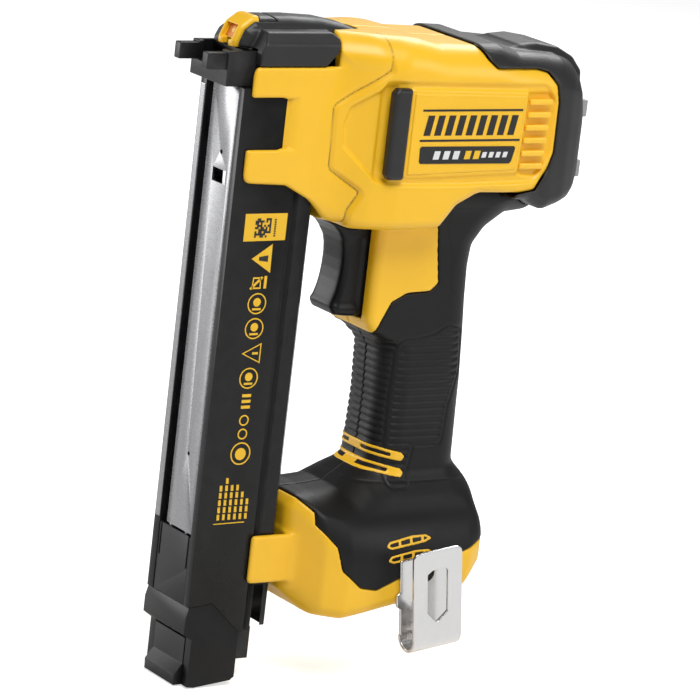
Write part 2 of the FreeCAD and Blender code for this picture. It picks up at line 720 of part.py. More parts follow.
STATIONS = [
    (-4.0, 0.58, -1.1, -58.0),
    (2.0, 0.64, 11.4, -67.0),
    (14.0, 0.90, 12.6, -70.0),
    (26.0, 1.00, 12.0, -70.0),
    (43.0, 1.00, 11.0, -70.0),
    (70.0, 1.00, 9.3, -54.0),
    (88.0, 1.00, 8.2, -54.0),
    (104.0, 0.955, 7.2, -54.0),
]
CAP_STATIONS = [
    (104.0, 0.955, 7.2, -64.0),
    (114.0, 0.88, 6.3, -66.0),
    (122.0, 0.76, 3.0, -64.0),
    (128.0, 0.60, -5.0, -58.0),
]


def body_loft(grow, stations=None, first=None, last=None):
    """The body's outer form, grown or shrunk evenly."""
    loops = []
    for offset, share, top, bottom in stations or STATIONS:
        place = MAG_REAR + offset
        if offset == STATIONS[0][0] and first is not None:
            place = first
        if last is not None and offset == (stations or STATIONS)[-1][0]:
            place = last
        loops.append(ring_section(place, share * D.body_half, top, bottom, grow))
    return loft(loops)


GRIP = [
    # z, front x and rear x from the magazine rear, share of the half width
    (-52.0, 44.0, 108.0, 1.08),
    (-68.0, 39.0, 106.0, 1.02),
    (-74.0, 36.0, 94.0, 1.00),
    (-80.0, 33.0, 84.5, 1.00),
    (-100.0, 34.0, 85.0, 1.00),
    (-122.0, 41.0, 88.0, 1.00),
    (-150.0, 42.5, 90.5, 1.00),
    (-178.0, 44.0, 91.5, 1.02),
    (-192.0, 31.0, 93.5, 1.20),
]


def grip_loft(shrink):
    """The handle's form, with chamfered corners, shrunk by a thickness."""
    loops = []
    for z, front, rear, share in GRIP:
        half = share * D.grip_half - shrink
        low = MAG_REAR + front + shrink
        high = MAG_REAR + rear - shrink
        corner = 0.52 * half
        right = [
            (low, 0.34 * half), (low + 0.34 * corner, 0.78 * half), (low + 1.5 * corner, half),
            (high - 1.5 * corner, half), (high - 0.34 * corner, 0.78 * half), (high, 0.34 * half),
        ]
        loop = right + [(a, -b) for a, b in reversed(right)]
        loops.append([(a, b, z) for a, b in loop])
    return loft(loops)


def body_outline():
    """Side outline of the yellow body, arms and trigger neck."""
    rear = BODY_REAR
    arm = D.mag_front + 3.3
    m = MAG_REAR
    return [
        (arm, -1.1), (m - 4.0, -1.1), (m + 1.5, 5.0), (m + 2.0, 14.0), (rear, 14.0), (rear, -40.0),
        (rear - 7.0, -52.2), (m + 70.4, -53.1), (m + 60.0, -58.4), (m + 57.0, -66.0), (m + 60.0, -72.0),
        (m + 63.8, -96.7), (m + 48.0, -100.3), (m + 38.4, -106.2), (m + 32.0, -117.2), (m + 32.0, -69.0),
        (m + 10.0, -68.2), (m + 0.7, -66.0), (m - 7.2, -58.4), (m - 20.7, -51.8), (arm, -50.5),
    ]


BAY_PIVOT = FreeCAD.Vector(85.0, 0.0, -240.0)


def foot_form(inset=0.0):
    """The foot, inset by a thickness: side outline, plan outline and sloping shoulders together."""
    m = MAG_REAR
    front = FOOT_FRONT + inset
    rear = m + 95.5 - inset
    side = [
        (front, -190.5 - inset), (m + 6.0, -188.0 - inset), (m + 16.0, -193.0 - inset),
        (m + 30.0, -189.0 - inset), (rear - 2.5, -186.0 - inset), (rear - 2.0, -196.0), (rear, -208.0),
        (rear, -219.0), (m + 83.0, -229.2), (m + 23.0, -240.0), (m + 8.0 + inset / 2, -238.5),
        (front, -232.0),
    ]
    wide = D.foot_half - inset
    slab = side_slab(side, -wide, wide)
    nose = 0.46 * D.foot_half - inset
    plan = [
        (front, nose), (m + 4.0 + inset / 2, nose + 2.7), (m + 12.0 + inset / 2, 0.87 * D.foot_half - inset),
        (m + 24.0, wide), (m + 84.0, wide), (rear, 0.74 * D.foot_half - inset),
    ]
    plan = plan + [(a, -b) for a, b in reversed(plan)]
    plan_form = plan_slab(plan, Size(-245.0), Size(-180.0))
    roof = 0.52 * D.foot_half - inset / 2
    shoulder = [
        (-wide, -245.0), (wide, -245.0), (wide, -204.0 - inset / 2), (roof, -185.0 - inset),
        (-roof, -185.0 - inset), (-wide, -204.0 - inset / 2),
    ]
    return slab.common(plan_form).common(end_slab(shoulder, FOOT_FRONT - 1, m + 100.0))


def foot_cover_outline():
    """Side outline of the black upper skin of the foot."""
    m = MAG_REAR
    return [
        (m + 14.0, -180.0), (m + 10.5, -195.0), (m + 11.0, -200.0), (m + 17.0, -207.4), (m + 19.8, -217.6),
        (m + 28.0, -225.0), (m + 38.0, -226.6), (m + 50.0, -221.0), (m + 97.0, -207.0), (m + 97.0, -180.0),
    ]


def tilted(shape):
    """Turn a shape made level into the slope of the foot's underside."""
    copy = shape.copy()
    copy.rotate(BAY_PIVOT, FreeCAD.Vector(0, 1, 0), -float(D.foot_tilt))
    return copy


SCREWS = [(8.0, -53.0), (97.0, 0.5), (57.5, -61.0), (50.0, -105.5), (12.0, -206.0), (88.0, -213.0)]


def clamshells():
    """Left and right yellow shells: body, arms, grip core and foot, hollow inside."""
    wall = D.body_wall
    form = side_slab(body_outline(), -D.body_half - 1, D.body_half + 1)
    arm_zone = brick((D.mag_front, MAG_REAR + 6.0), (-ARM_HALF, ARM_HALF), (Size(-70.0), Size(-1.1)))
    outer = form.common(body_loft(Size(0.0)).fuse(arm_zone))
    neck = side_slab([
        (MAG_REAR + 32.0, -60.0), (MAG_REAR + 57.0, -60.0), (MAG_REAR + 57.0, -66.0),
        (MAG_REAR + 60.0, -72.0), (MAG_REAR + 63.8, -96.7), (MAG_REAR + 48.0, -100.3),
        (MAG_REAR + 38.4, -106.2), (MAG_REAR + 32.0, -117.2),
    ], -D.grip_half - 3, D.grip_half + 3).common(grip_loft(Size(0.0)))
    across = (-D.body_half, D.body_half)
    core_zone = brick((MAG_REAR + 20, MAG_REAR + 90.0), across, (Size(-190.5), Size(-62.0)))
    core = grip_loft(D.rubber + D.clearance).common(core_zone)
    foot = foot_form()
    skin = side_slab(foot_cover_outline(), -D.foot_half - 1, D.foot_half + 1)
    foot_yellow = foot.cut(skin).fuse(foot_form(D.foot_wall + D.clearance))
    m = MAG_REAR
    clip = brick((MAG_REAR - 17.5, FOOT_FRONT + 8), (-ARM_HALF, ARM_HALF), (Size(-226.0), Size(-205.0)))
    solid_form = outer.fuse([neck, core, foot_yellow, clip]).removeSplitter()

    window = brick((D.mag_front, MAG_REAR - 24.4), (-D.body_half, D.body_half), (Size(-35.5), Size(-14.2)))
    slot = brick((D.mag_front - 1, BODY_FRONT), (-ARM_INNER, ARM_INNER), (MAG_BASE - 60, Size(20.0)))
    clip_slot = brick((m - 17.5, BODY_FRONT), (-ARM_INNER, ARM_INNER), (Size(-240.0), Size(-190.0)))
    nose_span = (BODY_FRONT - 1, BODY_FRONT + wall + 2)
    nose_way = brick(nose_span, (Size(-14.5), Size(14.5)), (Size(-12.0), Size(14.0)))
    cavity = body_loft(-wall, first=BODY_FRONT + wall)
    cavity = cavity.common(brick((BODY_FRONT + wall, BODY_REAR + 1), across, (Size(-50.8), Size(20.0))))
    motor_room = pole("x", (Size(0.0), D.motor_z), (MOTOR_X - 1, BODY_REAR + 1), D.motor_r + 0.3)
    grip_hollow = grip_loft(D.rubber + 2.2).common(
        brick((m + 20, m + 88.0), (-D.body_half, D.body_half), (Size(-205.0), Size(-66.0)))
    )
    passage = brick((m + 52, m + 72), (Size(-9.0), Size(9.0)), (Size(-70.0), Size(-48.0)))
    trigger_way = trigger_room()
    wire_way = brick((m + 50.0, m + 62.0), (Size(-7.0), Size(7.0)), (Size(-200.0), Size(-185.0)))
    lobby = foot_form(2 * D.foot_wall + 0.35).common(tilted(brick(
        (m + 10.0, m + 120.0), (-D.foot_half, D.foot_half), (Size(-228.0), Size(-150.0))
    )))
    bay = tilted(brick((m + 20.0, m + 110.0), (-D.bay_half, D.bay_half), (Size(-236.5), Size(-231.0))))
    bay_mouth = tilted(brick(
        (m + 20.0, m + 110.0), (-D.bay_half + D.bay_lip, D.bay_half - D.bay_lip), (Size(-246.0), Size(-236.0))
    ))
    socket = tilted(brick((m + 34.0, m + 60.0), (Size(-20.0), Size(20.0)), (Size(-231.5), Size(-227.0))))
    hollow = [
        window, slot, clip_slot, nose_way, cavity, motor_room, grip_hollow, passage, trigger_way,
        wire_way, lobby, bay, bay_mouth, socket,
    ]
    shell = solid_form
    for room in hollow:
        shell = shell.cut(room)
    bosses = [
        pole("y", (m + x, Size(z)), (-D.body_half - 9, D.body_half + 9), Size(3.4)).common(solid_form)
        for x, z in SCREWS
    ]
    for boss in bosses:
        shell = shell.fuse(boss)
    for sign in (-1, 1):
        low, high = sorted((sign * BUMPER_IN, sign * (D.body_half + 9)))
        shell = shell.cut(side_slab(bumper_outline(D.clearance), low, high))
    for screw in screw_shapes(D.bore_gap):
        shell = shell.cut(screw)
    for insert in insert_shapes(0.0):
        shell = shell.cut(insert)
    shell = shell.cut(trigger_way)
    for name, span in (("housing_left", (0.0, 60.0)), ("housing_right", (-60.0, 0.0))):
        side = brick((Size(0.0), Size(260.0)), (Size(span[0]), Size(span[1])), (Size(-260.0), Size(30.0)))
        keep(solid(biggest(shell.common(side))), name)


def trigger_room():
    """Space the trigger moves in, between its rest place and its stop."""
    half = D.trigger_half + D.slide_gap
    stop = MAG_REAR + 40.0 + D.trigger_travel
    return brick((MAG_REAR + 20.0, stop), (-half, half), (Size(-112.6), Size(-69.5)))


def biggest(shape):
    """The largest solid of a shape, without stray crumbs."""
    return max(shape.Solids, key=lambda one: one.Volume)


def screw_shapes(gap):
    """Long screws that enter from the left side and end in the right shell's bosses."""
    shapes = []
    for x, z in SCREWS:
        reach = screw_reach(x, z)
        shank = pole("y", (MAG_REAR + x, Size(z)), (Size(-8.0), reach), D.screw_r + gap)
        head_end = Size(60.0) if gap else reach + 2.2
        head = pole("y", (MAG_REAR + x, Size(z)), (reach, head_end), D.screw_r * 2 + gap)
        shapes.append(shank.fuse(head))
    return shapes


def screw_reach(x, z):
    """How far out a screw's head seat lies."""
    if z < -190:
        return Size(12.0)
    if z < -60:
        return D.grip_half - D.rubber - 6.0
    return Size(12.0) if x < 20 else D.body_half * 0.5


HOOK_X = 59.0
HOOK_Z = -219.0


def insert_shapes(gap):
    """Threaded brass inserts for the belt hook, one in each side of the foot."""
    shapes = []
    for sign in (-1, 1):
        low, high = sorted((sign * (D.foot_half - 8.0), sign * D.foot_half))
        shapes.append(pole("y", (MAG_REAR + HOOK_X, Size(HOOK_Z)), (low, high), Size(3.2) + gap))
    return shapes


BUMPER_IN = D.body_half - D.body_wall + 0.4


def bumper_outline(grow):
    """Side outline of the upright bumpers."""
    low = MAG_REAR + 18.5 - grow
    high = MAG_REAR + 27.5 + grow
    top = -7.5 + grow
    base = -46.5 - grow
    return [(low + 2, base), (low, base + 3), (low, top - 3), (low + 2, top), (high, top), (high, base)]


def trims():
    """Side bumpers, side panels, screws and inserts."""
    bumpers = []
    for sign in (-1, 1):
        low, high = sorted((sign * (BUMPER_IN + D.clearance), sign * (D.body_half + D.bumper_proud)))
        bumpers.append(side_slab(bumper_outline(0.0), low, high))
    keep(solid(Part.makeCompound(bumpers)), "side_bumpers")
    m = MAG_REAR
    panel = [(m + 31.0, -10.5), (m + 86.5, -10.5), (m + 85.0, -41.5), (m + 32.5, -41.5)]
    panels = []
    for sign in (-1, 1):
        low, high = sorted((sign * D.body_half, sign * (D.body_half + 0.6)))
        panels.append(side_slab(panel, low, high))
    keep(solid(Part.makeCompound(panels)), "side_panels")
    keep(solid(Part.makeCompound(screw_shapes(0.0))), "housing_screws")
    inserts = []
    for shape, sign in zip(insert_shapes(0.0), (-1, 1)):
        low, high = sorted((sign * (D.foot_half - 8.0), sign * D.foot_half))
        inserts.append(shape.cut(pole("y", (MAG_REAR + HOOK_X, Size(HOOK_Z)), (low, high), Size(2.0))))
    keep(solid(Part.makeCompound(inserts)), "hook_inserts")


def rear_cap():
    """Black motor cap with a saddle skin over the top rear of the body."""
    m = MAG_REAR
    shell = body_loft(D.saddle, CAP_STATIONS)
    hollow = body_loft(-D.body_wall, CAP_STATIONS, last=CAP_REAR - D.body_wall)
    across = (-D.body_half, D.body_half)
    hollow = hollow.common(brick((BODY_REAR - 1, CAP_REAR), across, (Size(-51.0), Size(20.0))))
    back = body_loft(D.saddle).cut(body_loft(D.clearance))
    saddle = back.common(side_slab([
        (m + 64.5, 20.0), (m + 66.0, 8.0), (m + 71.0, 1.0), (m + 93.0, 0.8), (m + 99.0, -1.0),
        (m + 104.0, -8.0), (m + 104.0, 20.0),
    ], -D.body_half - 5, D.body_half + 5))
    cap = shell.cut(hollow).fuse(saddle).removeSplitter()
    slots = [
        brick((BODY_REAR + 8, CAP_REAR + 5), (Size(y), Size(y + 5.0)), (Size(z), Size(z + 2.4)))
        for y in (-9.0, 4.0) for z in (-44.0, -38.0, -32.0, -26.0, -20.0)
    ]
    for slot in slots:
        cap = cap.cut(slot)
    for sign in (-1, 1):
        for top in (-17.0, -44.0):
            low, high = sorted((sign * 17.0, sign * 22.5))
            rib = brick((CAP_REAR - 9, CAP_REAR + 0.5), (Size(low), Size(high)), (Size(top - 8.0), Size(top)))
            cap = cap.fuse(rib.cut(hollow))
    keep(solid(biggest(cap)), "rear_cap")


LATCH_PIVOT = (Size(31.0), Size(13.2))
LATCH_HALF = 7.0
LATCH_SWING_R = 5.3


def top_cover():
    """Black cover over the nose: a round ridge with a domed front between two faceted cheeks."""
    m = MAG_REAR
    floor = Size(-1.0)
    ridge_r = 11.0
    ridge_z = 6.0
    front = 27.0
    ridge = pole("x", (Size(0.0), Size(ridge_z)), (Size(front), m + 4.0), ridge_r)
    dome = Part.makeSphere(ridge_r, FreeCAD.Vector(front, 0, ridge_z))
    tail_start = FreeCAD.Vector(float(m + 4.0), 0, ridge_z)
    tail = Part.makeCone(ridge_r, 3.0, 12.0, tail_start, FreeCAD.Vector(1, 0, 0))
    cheeks = end_slab([
        (-ARM_HALF, -1.0), (ARM_HALF, -1.0), (ARM_HALF, 4.0), (ARM_HALF - 3.0, 11.0), (9.5, 12.8),
        (-9.5, 12.8), (-ARM_HALF + 3.0, 11.0), (-ARM_HALF, 4.0),
    ], Size(22.0), m).common(side_slab([
        (22.5, -1.0), (m - 7.0, -1.0), (m - 1.0, 4.5), (m - 1.0, 10.6),
        (m - 3.0, 12.8), (28.0, 12.8), (22.5, 4.5),
    ], -ARM_HALF, ARM_HALF))
    form = ridge.fuse([dome, tail, cheeks])
    form = form.cut(brick((Size(0.0), Size(140.0)), (Size(-40.0), Size(40.0)), (Size(-20.0), floor)))
    walls_out = D.nose_half + D.slide_gap + D.fork_wall + 0.4
    room = brick((Size(0.0), m + 1.0), (-walls_out, walls_out), (floor - 1, D.nose_top + 0.6))
    cover_room = brick((D.mag_front + 4.5, m), (-D.nose_half, D.nose_half), (floor, D.nose_top + 2.8))
    form = form.cut(room).cut(cover_room).cut(body_loft(D.clearance)).cut(
        brick((m + 2.4, Size(140.0)), (Size(-40.0), Size(40.0)), (Size(-20.0), Size(12.4)))
    )
    room_half = LATCH_HALF + 0.6
    form = form.cut(latch_slab(0.5, room_half))
    pin_span = (Size(-9.0), Size(9.0))
    pin = pole("y", LATCH_PIVOT, pin_span, Size(1.0))
    swing = pole("y", LATCH_PIVOT, (Size(-room_half), Size(room_half)), Size(LATCH_SWING_R))
    keep(solid(biggest(form.cut(pin).cut(swing))), "top_cover")
    keep(rod("y", LATCH_PIVOT, pin_span, Size(1.0)), "jam_release_pin")


def latch_slab(grow, half):
    """Side form of the release latch, which wraps the front of the dome."""
    start = FreeCAD.Vector(27.4, -half, 5.2)
    across = FreeCAD.Vector(0, 1, 0)
    outer = Part.makeCylinder(12.2, 2 * half, start, across)
    inner = Part.makeCylinder(9.6 - grow, 2 * half, start, across)
    zone = side_slab(
        [(8.0, 5.4 - grow), (30.0, 5.4 - grow), (34.4 + grow, 14.0), (34.4 + grow, 25.0), (8.0, 25.0)],
        Size(-half), Size(half),
    )
    return outer.cut(inner).common(zone)


def jam_latch():
    """Yellow release latch, hinged at its top rear edge."""
    eye = pole("y", LATCH_PIVOT, (Size(-LATCH_HALF), Size(LATCH_HALF)), Size(3.3))
    form = latch_slab(0.0, LATCH_HALF).fuse(eye)
    bore = pole("y", LATCH_PIVOT, (Size(-8.0), Size(8.0)), Size(1.0) + D.bore_gap)
    notch = brick((Size(10.0), Size(19.5)), (Size(-2.4), Size(2.4)), (Size(0.0), Size(7.2)))
    keep(solid(biggest(form.cut(bore).cut(notch))), "jam_release_latch")


def overmolds():
    """Rubber grip skins and the upper skins of the foot."""
    m = MAG_REAR
    skin = grip_loft(Size(0.0)).cut(grip_loft(D.rubber))
    grip_zone = side_slab([
        (m + 57.2, -66.0), (m + 60.2, -72.0), (m + 64.0, -96.9), (m + 48.0, -100.5), (m + 38.6, -106.4),
        (m + 31.4, -118.0), (m + 31.0, -183.0), (m + 96.0, -183.0), (m + 96.0, -85.0), (m + 108.0, -68.5),
        (m + 108.0, -66.2), (BODY_REAR - 0.2, -66.2), (BODY_REAR - 0.2, -40.5), (BODY_REAR - 6.8, -52.4),
        (m + 70.5, -53.3), (m + 60.2, -58.6),
    ], -D.body_half, D.body_half)
    rib_cuts = []
    for index in range(18):
        z = -121.0 - 3.1 * index
        level = (Size(z - 0.5), Size(z + 0.5))
        rib_cuts.append(brick((m + 35.0, m + 45.0), (Size(-30.0), Size(30.0)), level))
    inner_keep = grip_loft(D.rubber - 0.8)
    grooves = Part.makeCompound(rib_cuts).cut(inner_keep)
    skin = skin.common(grip_zone).cut(body_loft(D.clearance)).cut(grooves).cut(trigger_room())
    foot = foot_form()
    cover = foot.common(side_slab(foot_cover_outline(), -D.foot_half - 1, D.foot_half + 1))
    cover = cover.cut(foot_form(D.foot_wall)).cut(grip_loft(D.rubber))
    cover = cover.cut(brick((m + 20, m + 100), (Size(-40.0), Size(40.0)), (Size(-183.5), Size(-170.0))))
    skin = skin.cut(cover)
    vents = []
    for index in range(4):
        x = m + 39.0 + 7.0 * index
        vents.append(side_slab(
            [(x, -212.0 + index), (x + 4.6, -211.2 + index), (x + 4.6, -208.0 + index), (x, -208.8 + index)],
            Size(-50.0), Size(50.0),
        ))
    for vent in vents:
        cover = cover.cut(vent)
    for insert in insert_shapes(0.0):
        cover = cover.cut(insert)
    for screw in screw_shapes(D.bore_gap):
        cover = cover.cut(screw)
        skin = skin.cut(screw)
    for side, span in (("left", (0.0, 60.0)), ("right", (-60.0, 0.0))):
        zone = brick((Size(0.0), Size(260.0)), (Size(span[0]), Size(span[1])), (Size(-260.0), Size(30.0)))
        keep(solid(biggest(skin.common(zone))), f"grip_overmold_{side}")
        keep(solid(biggest(cover.common(zone))), f"foot_cover_{side}")


def trigger_group():
    """Trigger, its return spring and the switch behind it."""
    m = MAG_REAR
    side = [
        (m + 10.5, -70.6), (m + 18.0, -77.0), (m + 19.3, -84.0), (m + 19.0, -94.0), (m + 17.6, -103.0),
        (m + 15.6, -108.0), (m + 17.5, -111.0), (m + 24.0, -112.0), (m + 36.8, -112.0), (m + 36.8, -70.0),
        (m + 14.0, -69.9),
    ]
    keep(pad_across(side, D.trigger_half), "trigger")
    keep(tube("x", (Size(0.0), Size(-90.0)), (m + 36.8, m + 44.0), Size(3.0), Size(2.3)), "trigger_spring")
    switch = box((m + 44.0, m + 62.0), (Size(-8.5), Size(8.5)), (Size(-98.0), Size(-74.0)))
    keep(switch, "trigger_switch")
    leads = [
        rod("z", (m + 56.0, Size(y)), (Size(-217.0), Size(-98.0)), Size(1.0)) for y in (-4.0, 0.0, 4.0)
    ]
    keep(group(*leads), "lead_wires")


def foot_group():
    """Control board, terminal block and blades in the foot."""
    m = MAG_REAR
    board = tilted(brick((m + 32.0, m + 78.0), (Size(-22.0), Size(22.0)), (Size(-226.6), Size(-225.0))))
    keep(solid(board), "control_board")
    block = tilted(brick((m + 35.0, m + 50.0), (Size(-19.5), Size(19.5)), (Size(-231.3), Size(-226.6))))
    slots = [
        tilted(brick((m + 44.0, m + 47.0), (Size(y - 0.5), Size(y + 0.5)), (Size(-232.0), Size(-226.6))))
        for y in (-14.0, -7.0, 0.0, 7.0, 14.0)
    ]
    for slot in slots:
        block = block.cut(slot)
    keep(solid(block), "terminal_block")
    blades = []
    for y in (-14.0, -7.0, 0.0, 7.0, 14.0):
        across = (Size(y - 0.5), Size(y + 0.5))
        stem = tilted(brick((m + 44.0, m + 47.0), across, (Size(-235.6), Size(-226.6))))
        flag = tilted(brick((m + 44.0, m + 56.0), across, (Size(-235.6), Size(-231.6))))
        blades.append(stem.fuse(flag).removeSplitter())
    keep(solid(Part.makeCompound(blades)), "terminal_blades")


def belt_hook():
    """Bent steel strap on the right side of the foot, open at the top, with its screw."""
    m = MAG_REAR
    thick = D.hook_thick
    foot = D.foot_half + 0.1
    radius = D.hook_gap / 2
    centre = foot + thick + radius
    bend_z = Size(HOOK_Z - 27.0)
    low = m + HOOK_X - D.hook_width / 2
    high = low + D.hook_width
    leg = brick((low, high), (-foot - thick, -foot), (bend_z, Size(HOOK_Z + 7.0)))
    tab = brick((low - 1.4, low + 2.0), (-foot - thick, -foot), (Size(HOOK_Z - 14.5), Size(HOOK_Z - 8.0)))
    far = -foot - thick - D.hook_gap
    outer_face = brick((low, high), (far - thick, far), (bend_z, Size(HOOK_Z + 13.4)))
    bend = pole("x", (-centre, bend_z), (low, high), radius + thick).cut(
        pole("x", (-centre, bend_z), (low - 1, high + 1), radius)
    )
    bend = bend.cut(brick((low - 1, high + 1), (-centre - 40, -centre + 40), (bend_z, bend_z + 40)))
    middle = m + HOOK_X
    slot = side_slab([
        (middle - 5.3, HOOK_Z + 2.8), (middle - 2.6, HOOK_Z + 4.4), (middle + 3.8, HOOK_Z + 4.4),
        (middle + 5.1, HOOK_Z + 3.2), (middle + 5.1, HOOK_Z - 15.4), (middle - 0.4, HOOK_Z - 19.7),
        (middle - 5.3, HOOK_Z - 14.4),
    ], far - thick - 1, far + 1)
    strap = leg.fuse([tab, outer_face, bend]).removeSplitter().cut(slot)
    place = (middle, Size(HOOK_Z))
    strap = strap.cut(pole("y", place, (-foot - 5, -foot + 1), Size(2.1)))
    strap.rotate(FreeCAD.Vector(middle, 0, HOOK_Z), FreeCAD.Vector(0, 1, 0), -float(D.hook_tilt))
    keep(solid(strap), "belt_hook")
    screw = pole("y", place, (-foot - thick, -D.foot_half + 7.0), Size(1.95))
    head = pole("y", place, (-foot - thick - 2.4, -foot - thick), Size(4.2))
    keep(solid(screw.fuse(head)), "hook_screw")


def check_and_write():
    """Stop on any failed object or bad shape, then write one file per sub-part."""
    DOC.recompute()
    for item in DOC.Objects:
        if "Invalid" in item.State or "Error" in item.State:
            raise SystemExit(f"failed object: {item.Label} {item.State}")
    os.makedirs("parts", exist_ok=True)
    for label, item in SUBPARTS.items():
        shape = item.Shape
        if shape.isNull() or not shape.isValid() or not shape.Solids:
            raise SystemExit(f"bad shape: {label}")
    for label, item in SUBPARTS.items():
        item.Shape.exportStep(f"parts/{label}.step")
    print(len(SUBPARTS), "sub-parts")


magazine_track()
drawer_plates()
staple_feed()
end_cap()
nose()
work_contact()
driver()
lifter()
drivetrain()
bearings()
clamshells()
trims()
rear_cap()
top_cover()
jam_latch()
overmolds()
trigger_group()
foot_group()
belt_hook()
check_and_write()
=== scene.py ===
import math

import bmesh
import bpy
import numpy as np
import openvdb
from bpy.props import FloatProperty, FloatVectorProperty, IntProperty, PointerProperty
from mathutils import Matrix, Vector


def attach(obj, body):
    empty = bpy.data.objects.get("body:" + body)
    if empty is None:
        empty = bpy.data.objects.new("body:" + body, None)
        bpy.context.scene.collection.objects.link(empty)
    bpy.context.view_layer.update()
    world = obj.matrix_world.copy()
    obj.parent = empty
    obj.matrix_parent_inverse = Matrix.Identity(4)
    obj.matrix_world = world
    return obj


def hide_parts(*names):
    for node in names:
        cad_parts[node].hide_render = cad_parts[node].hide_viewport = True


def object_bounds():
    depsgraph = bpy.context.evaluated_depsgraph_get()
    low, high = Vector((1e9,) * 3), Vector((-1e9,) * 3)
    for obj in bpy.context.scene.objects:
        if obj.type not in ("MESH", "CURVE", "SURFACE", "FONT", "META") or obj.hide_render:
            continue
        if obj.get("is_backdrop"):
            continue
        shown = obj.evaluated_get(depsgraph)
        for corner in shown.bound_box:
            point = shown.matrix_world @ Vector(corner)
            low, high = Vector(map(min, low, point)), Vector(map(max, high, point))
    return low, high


bl_info = {
    "name": "Cordless stapler looks",
    "version": (1, 0),
    "blender": (4, 5, 0),
    "location": "3D View > Sidebar > Stapler",
    "description": "Moulded casings, steel and markings of a cordless stapler round its CAD frame",
    "category": "Object",
}

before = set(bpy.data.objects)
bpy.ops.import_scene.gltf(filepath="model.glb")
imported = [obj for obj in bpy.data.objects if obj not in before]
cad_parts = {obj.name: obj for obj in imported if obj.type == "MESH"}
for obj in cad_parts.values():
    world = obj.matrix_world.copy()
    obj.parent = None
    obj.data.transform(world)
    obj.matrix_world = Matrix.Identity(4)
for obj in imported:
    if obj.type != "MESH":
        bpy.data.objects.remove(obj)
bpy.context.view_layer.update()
MM = 0.001


# Sizes and colours ------------------------------------------------------------

class StaplerSizes(bpy.types.PropertyGroup):
    """Sizes of the moulded parts, in millimetres."""

    casing_step: FloatProperty(
        name="Casing step", description="Grid step of the yellow casing", default=0.62)
    skin_step: FloatProperty(
        name="Skin step", description="Grid step of the black mouldings", default=0.55)
    arm_half: FloatProperty(
        name="Arm half width", description="Middle plane to the arms' outer face", default=19.5)
    slot_half: FloatProperty(
        name="Magazine slot", description="Half width of the magazine's room", default=17.35)
    grip_half: FloatProperty(
        name="Grip half width", description="Middle plane to the grip's side", default=18.2)
    foot_half: FloatProperty(
        name="Foot half width", description="Middle plane to the foot's side", default=38.0)
    rib_pitch: FloatProperty(
        name="Grip rib pitch", description="Distance between the grip's ribs", default=3.1)
    rib_depth: FloatProperty(
        name="Grip rib depth", description="Depth between the grip's ribs", default=0.75)
    seam_gap: FloatProperty(name="Seam gap", description="Gap between two mouldings", default=0.22)
    side_ribs: IntProperty(name="Side ribs", description="Ribs behind the side panel", default=6)


class StaplerColours(bpy.types.PropertyGroup):
    """Base colours of the finishes."""

    yellow: FloatVectorProperty(
        name="Yellow", description="Moulded casing", subtype="COLOR", size=3,
        default=(0.93, 0.525, 0.014))
    black: FloatVectorProperty(
        name="Black", description="Hard black mouldings", subtype="COLOR", size=3,
        default=(0.011, 0.011, 0.012))
    rubber: FloatVectorProperty(
        name="Rubber", description="Soft grip skin", subtype="COLOR", size=3,
        default=(0.014, 0.014, 0.015))
    anodised: FloatVectorProperty(
        name="Anodised", description="Magazine profile", subtype="COLOR", size=3,
        default=(0.006, 0.006, 0.006))
    steel: FloatVectorProperty(
        name="Steel", description="Bare steel", subtype="COLOR", size=3,
        default=(0.62, 0.62, 0.63))
    brass: FloatVectorProperty(
        name="Brass", description="Inserts and terminals", subtype="COLOR", size=3,
        default=(0.72, 0.50, 0.22))
    floor: FloatVectorProperty(
        name="Floor", description="Studio floor", subtype="COLOR", size=3,
        default=(0.93, 0.93, 0.93))


def sizes():
    """The sizes set in this scene."""
    return bpy.context.scene.stapler_sizes


def colours():
    """The colours set in this scene."""
    return bpy.context.scene.stapler_colours


# Forms as distance fields, in millimetres ---------------------------------------

def meet(a, b, radius):
    """Where both forms are, with a round edge between them."""
    over_a = np.maximum(a + radius, 0)
    over_b = np.maximum(b + radius, 0)
    return np.minimum(np.maximum(a, b), -radius) + np.sqrt(over_a * over_a + over_b * over_b)


def join(a, b, radius):
    """Where either form is, with a fillet between them."""
    return -meet(-a, -b, radius)


def carve(a, b, radius):
    """The first form without the second, with a round lip."""
    return meet(a, -b, radius)


def ramp(value):
    """Smooth step from 0 to 1 as value goes from 0 to 1."""
    t = np.clip(value, 0, 1)
    return t * t * (3 - 2 * t)


class Curve:
    """A smooth line through stations, for widths along the tool."""

    def __init__(self, stations, blur):
        xs, ys = zip(*stations)
        self.x = np.arange(xs[0] - 4 * blur, xs[-1] + 4 * blur, 0.25)
        flat = np.interp(self.x, xs, ys)
        kernel = np.hanning(max(3, int(blur / 0.25) | 1))
        half = len(kernel) // 2
        padded = np.concatenate([np.full(half, flat[0]), flat, np.full(half, flat[-1])])
        self.y = np.convolve(padded, kernel / kernel.sum(), mode="valid")

    def __call__(self, x):
        return np.interp(x, self.x, self.y).astype(np.float32)


